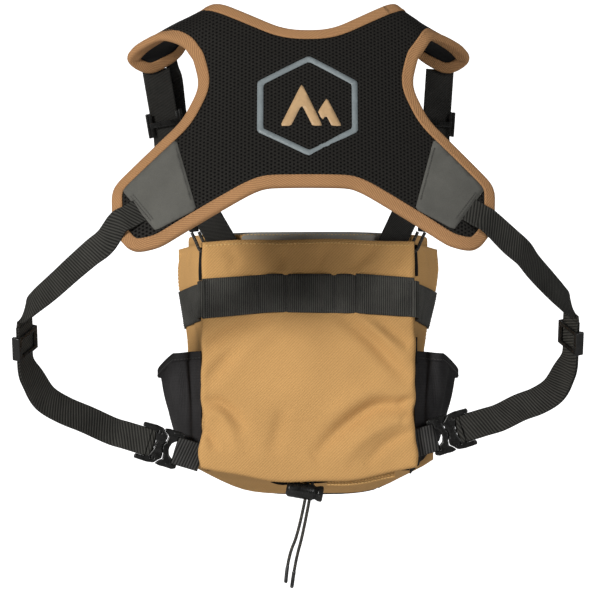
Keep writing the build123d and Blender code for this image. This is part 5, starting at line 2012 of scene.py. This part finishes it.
for side_name, side in SIDES.items():
    loop, line = braided_cord(f"{side_name}_tether_loop", [tuple(on_side(side, p)) for p in TETHER_CORD])
    place(loop, f"{side_name}_tether", "black_cord", f"{side_name}_tether_cord")


# ---- stage, light and camera ----------------------------------------------------------------------
FLOOR_Z, WALL_TOP, STAGE_HALF = -0.95, 5.0, 7.0  # the stage is in metres
LIT_FROM, LIT_HALF = 4.6, 1.0
SWEEP_FROM, SWEEP_RADIUS = 5.6, 0.8


def stage_floor():
    """Floor and back wall in one sweep. Only the part straight behind the object glows."""
    profile = [(-STAGE_HALF, FLOOR_Z), (LIT_FROM, FLOOR_Z), (SWEEP_FROM, FLOOR_Z)]
    for turn in np.radians(range(10, 91, 10)):
        rise = SWEEP_RADIUS * (1 - math.cos(turn))
        profile.append((SWEEP_FROM + SWEEP_RADIUS * math.sin(turn), FLOOR_Z + rise))
    profile.append((SWEEP_FROM + SWEEP_RADIUS, WALL_TOP))
    columns = (-STAGE_HALF, -LIT_HALF, LIT_HALF, STAGE_HALF)
    verts = [(x / MM, y / MM, z / MM) for y, z in profile for x in columns]
    faces = grid_faces(len(profile), len(columns))
    papers = []
    for name, glow in (("floor_paper", 0.0), ("wall_paper", 1.0)):
        n = Nodes(name, 0.9, 0.1)
        shade = n.range(n.noise(n.place(), 3, 2), 0.3, 0.7, 0.80, 0.82)
        n.set("Emission Color", (1, 1, 1, 1))
        n.set("Emission Strength", glow)
        papers.append(n.finish(n.node("ShaderNodeCombineColor", inputs=(shade, shade, shade))))
    middles = [np.mean([verts[k] for k in face], axis=0) * MM for face in faces]
    lit = [int(y > LIT_FROM and abs(x) < LIT_HALF) for x, y, _ in middles]
    return make_mesh("stage_floor", verts, faces, materials=papers, face_material=lit)


stage_floor()


def softbox(name, place_at, target, size, power, colour=(1, 1, 1)):
    light = bpy.data.lights.new(name, "AREA")
    light.shape = "RECTANGLE"
    light.size, light.size_y = size
    light.energy = power
    light.color = colour
    obj = add_object(name, light)
    obj.location = place_at
    obj.rotation_euler = (Vector(target) - Vector(place_at)).to_track_quat("-Z", "Y").to_euler()


MIDDLE = (0, 0, -0.25)  # what the lights point at
softbox("key", (-1.9, -2.0, 0.55), MIDDLE, (0.5, 0.5), 76, (1.0, 0.985, 0.96))
softbox("fill", (2.0, -2.0, 0.6), MIDDLE, (0.9, 0.9), 30)
softbox("top", (0, -0.2, 1.9), (0, 0, -0.2), (1.2, 1.2), 3)

WORLD_STRENGTH = 0.12
world = bpy.data.worlds.new("studio")
world.use_nodes = True
backdrop = world.node_tree.nodes["Background"]
backdrop.inputs["Color"].default_value = (1, 1, 1, 1)
backdrop.inputs["Strength"].default_value = WORLD_STRENGTH
bpy.context.scene.world = world
bpy.context.scene.view_settings.view_transform = "Standard"

CAMERA_AT, LENS, SENSOR = (-0.012, -2.8, -0.230), 194.0, 36
camera_data = bpy.data.cameras.new("camera")
camera_data.sensor_width = SENSOR
camera_data.lens = LENS
camera = add_object("camera", camera_data)
camera.location = CAMERA_AT
camera.rotation_euler = (math.radians(90), 0, 0)
bpy.context.scene.camera = camera
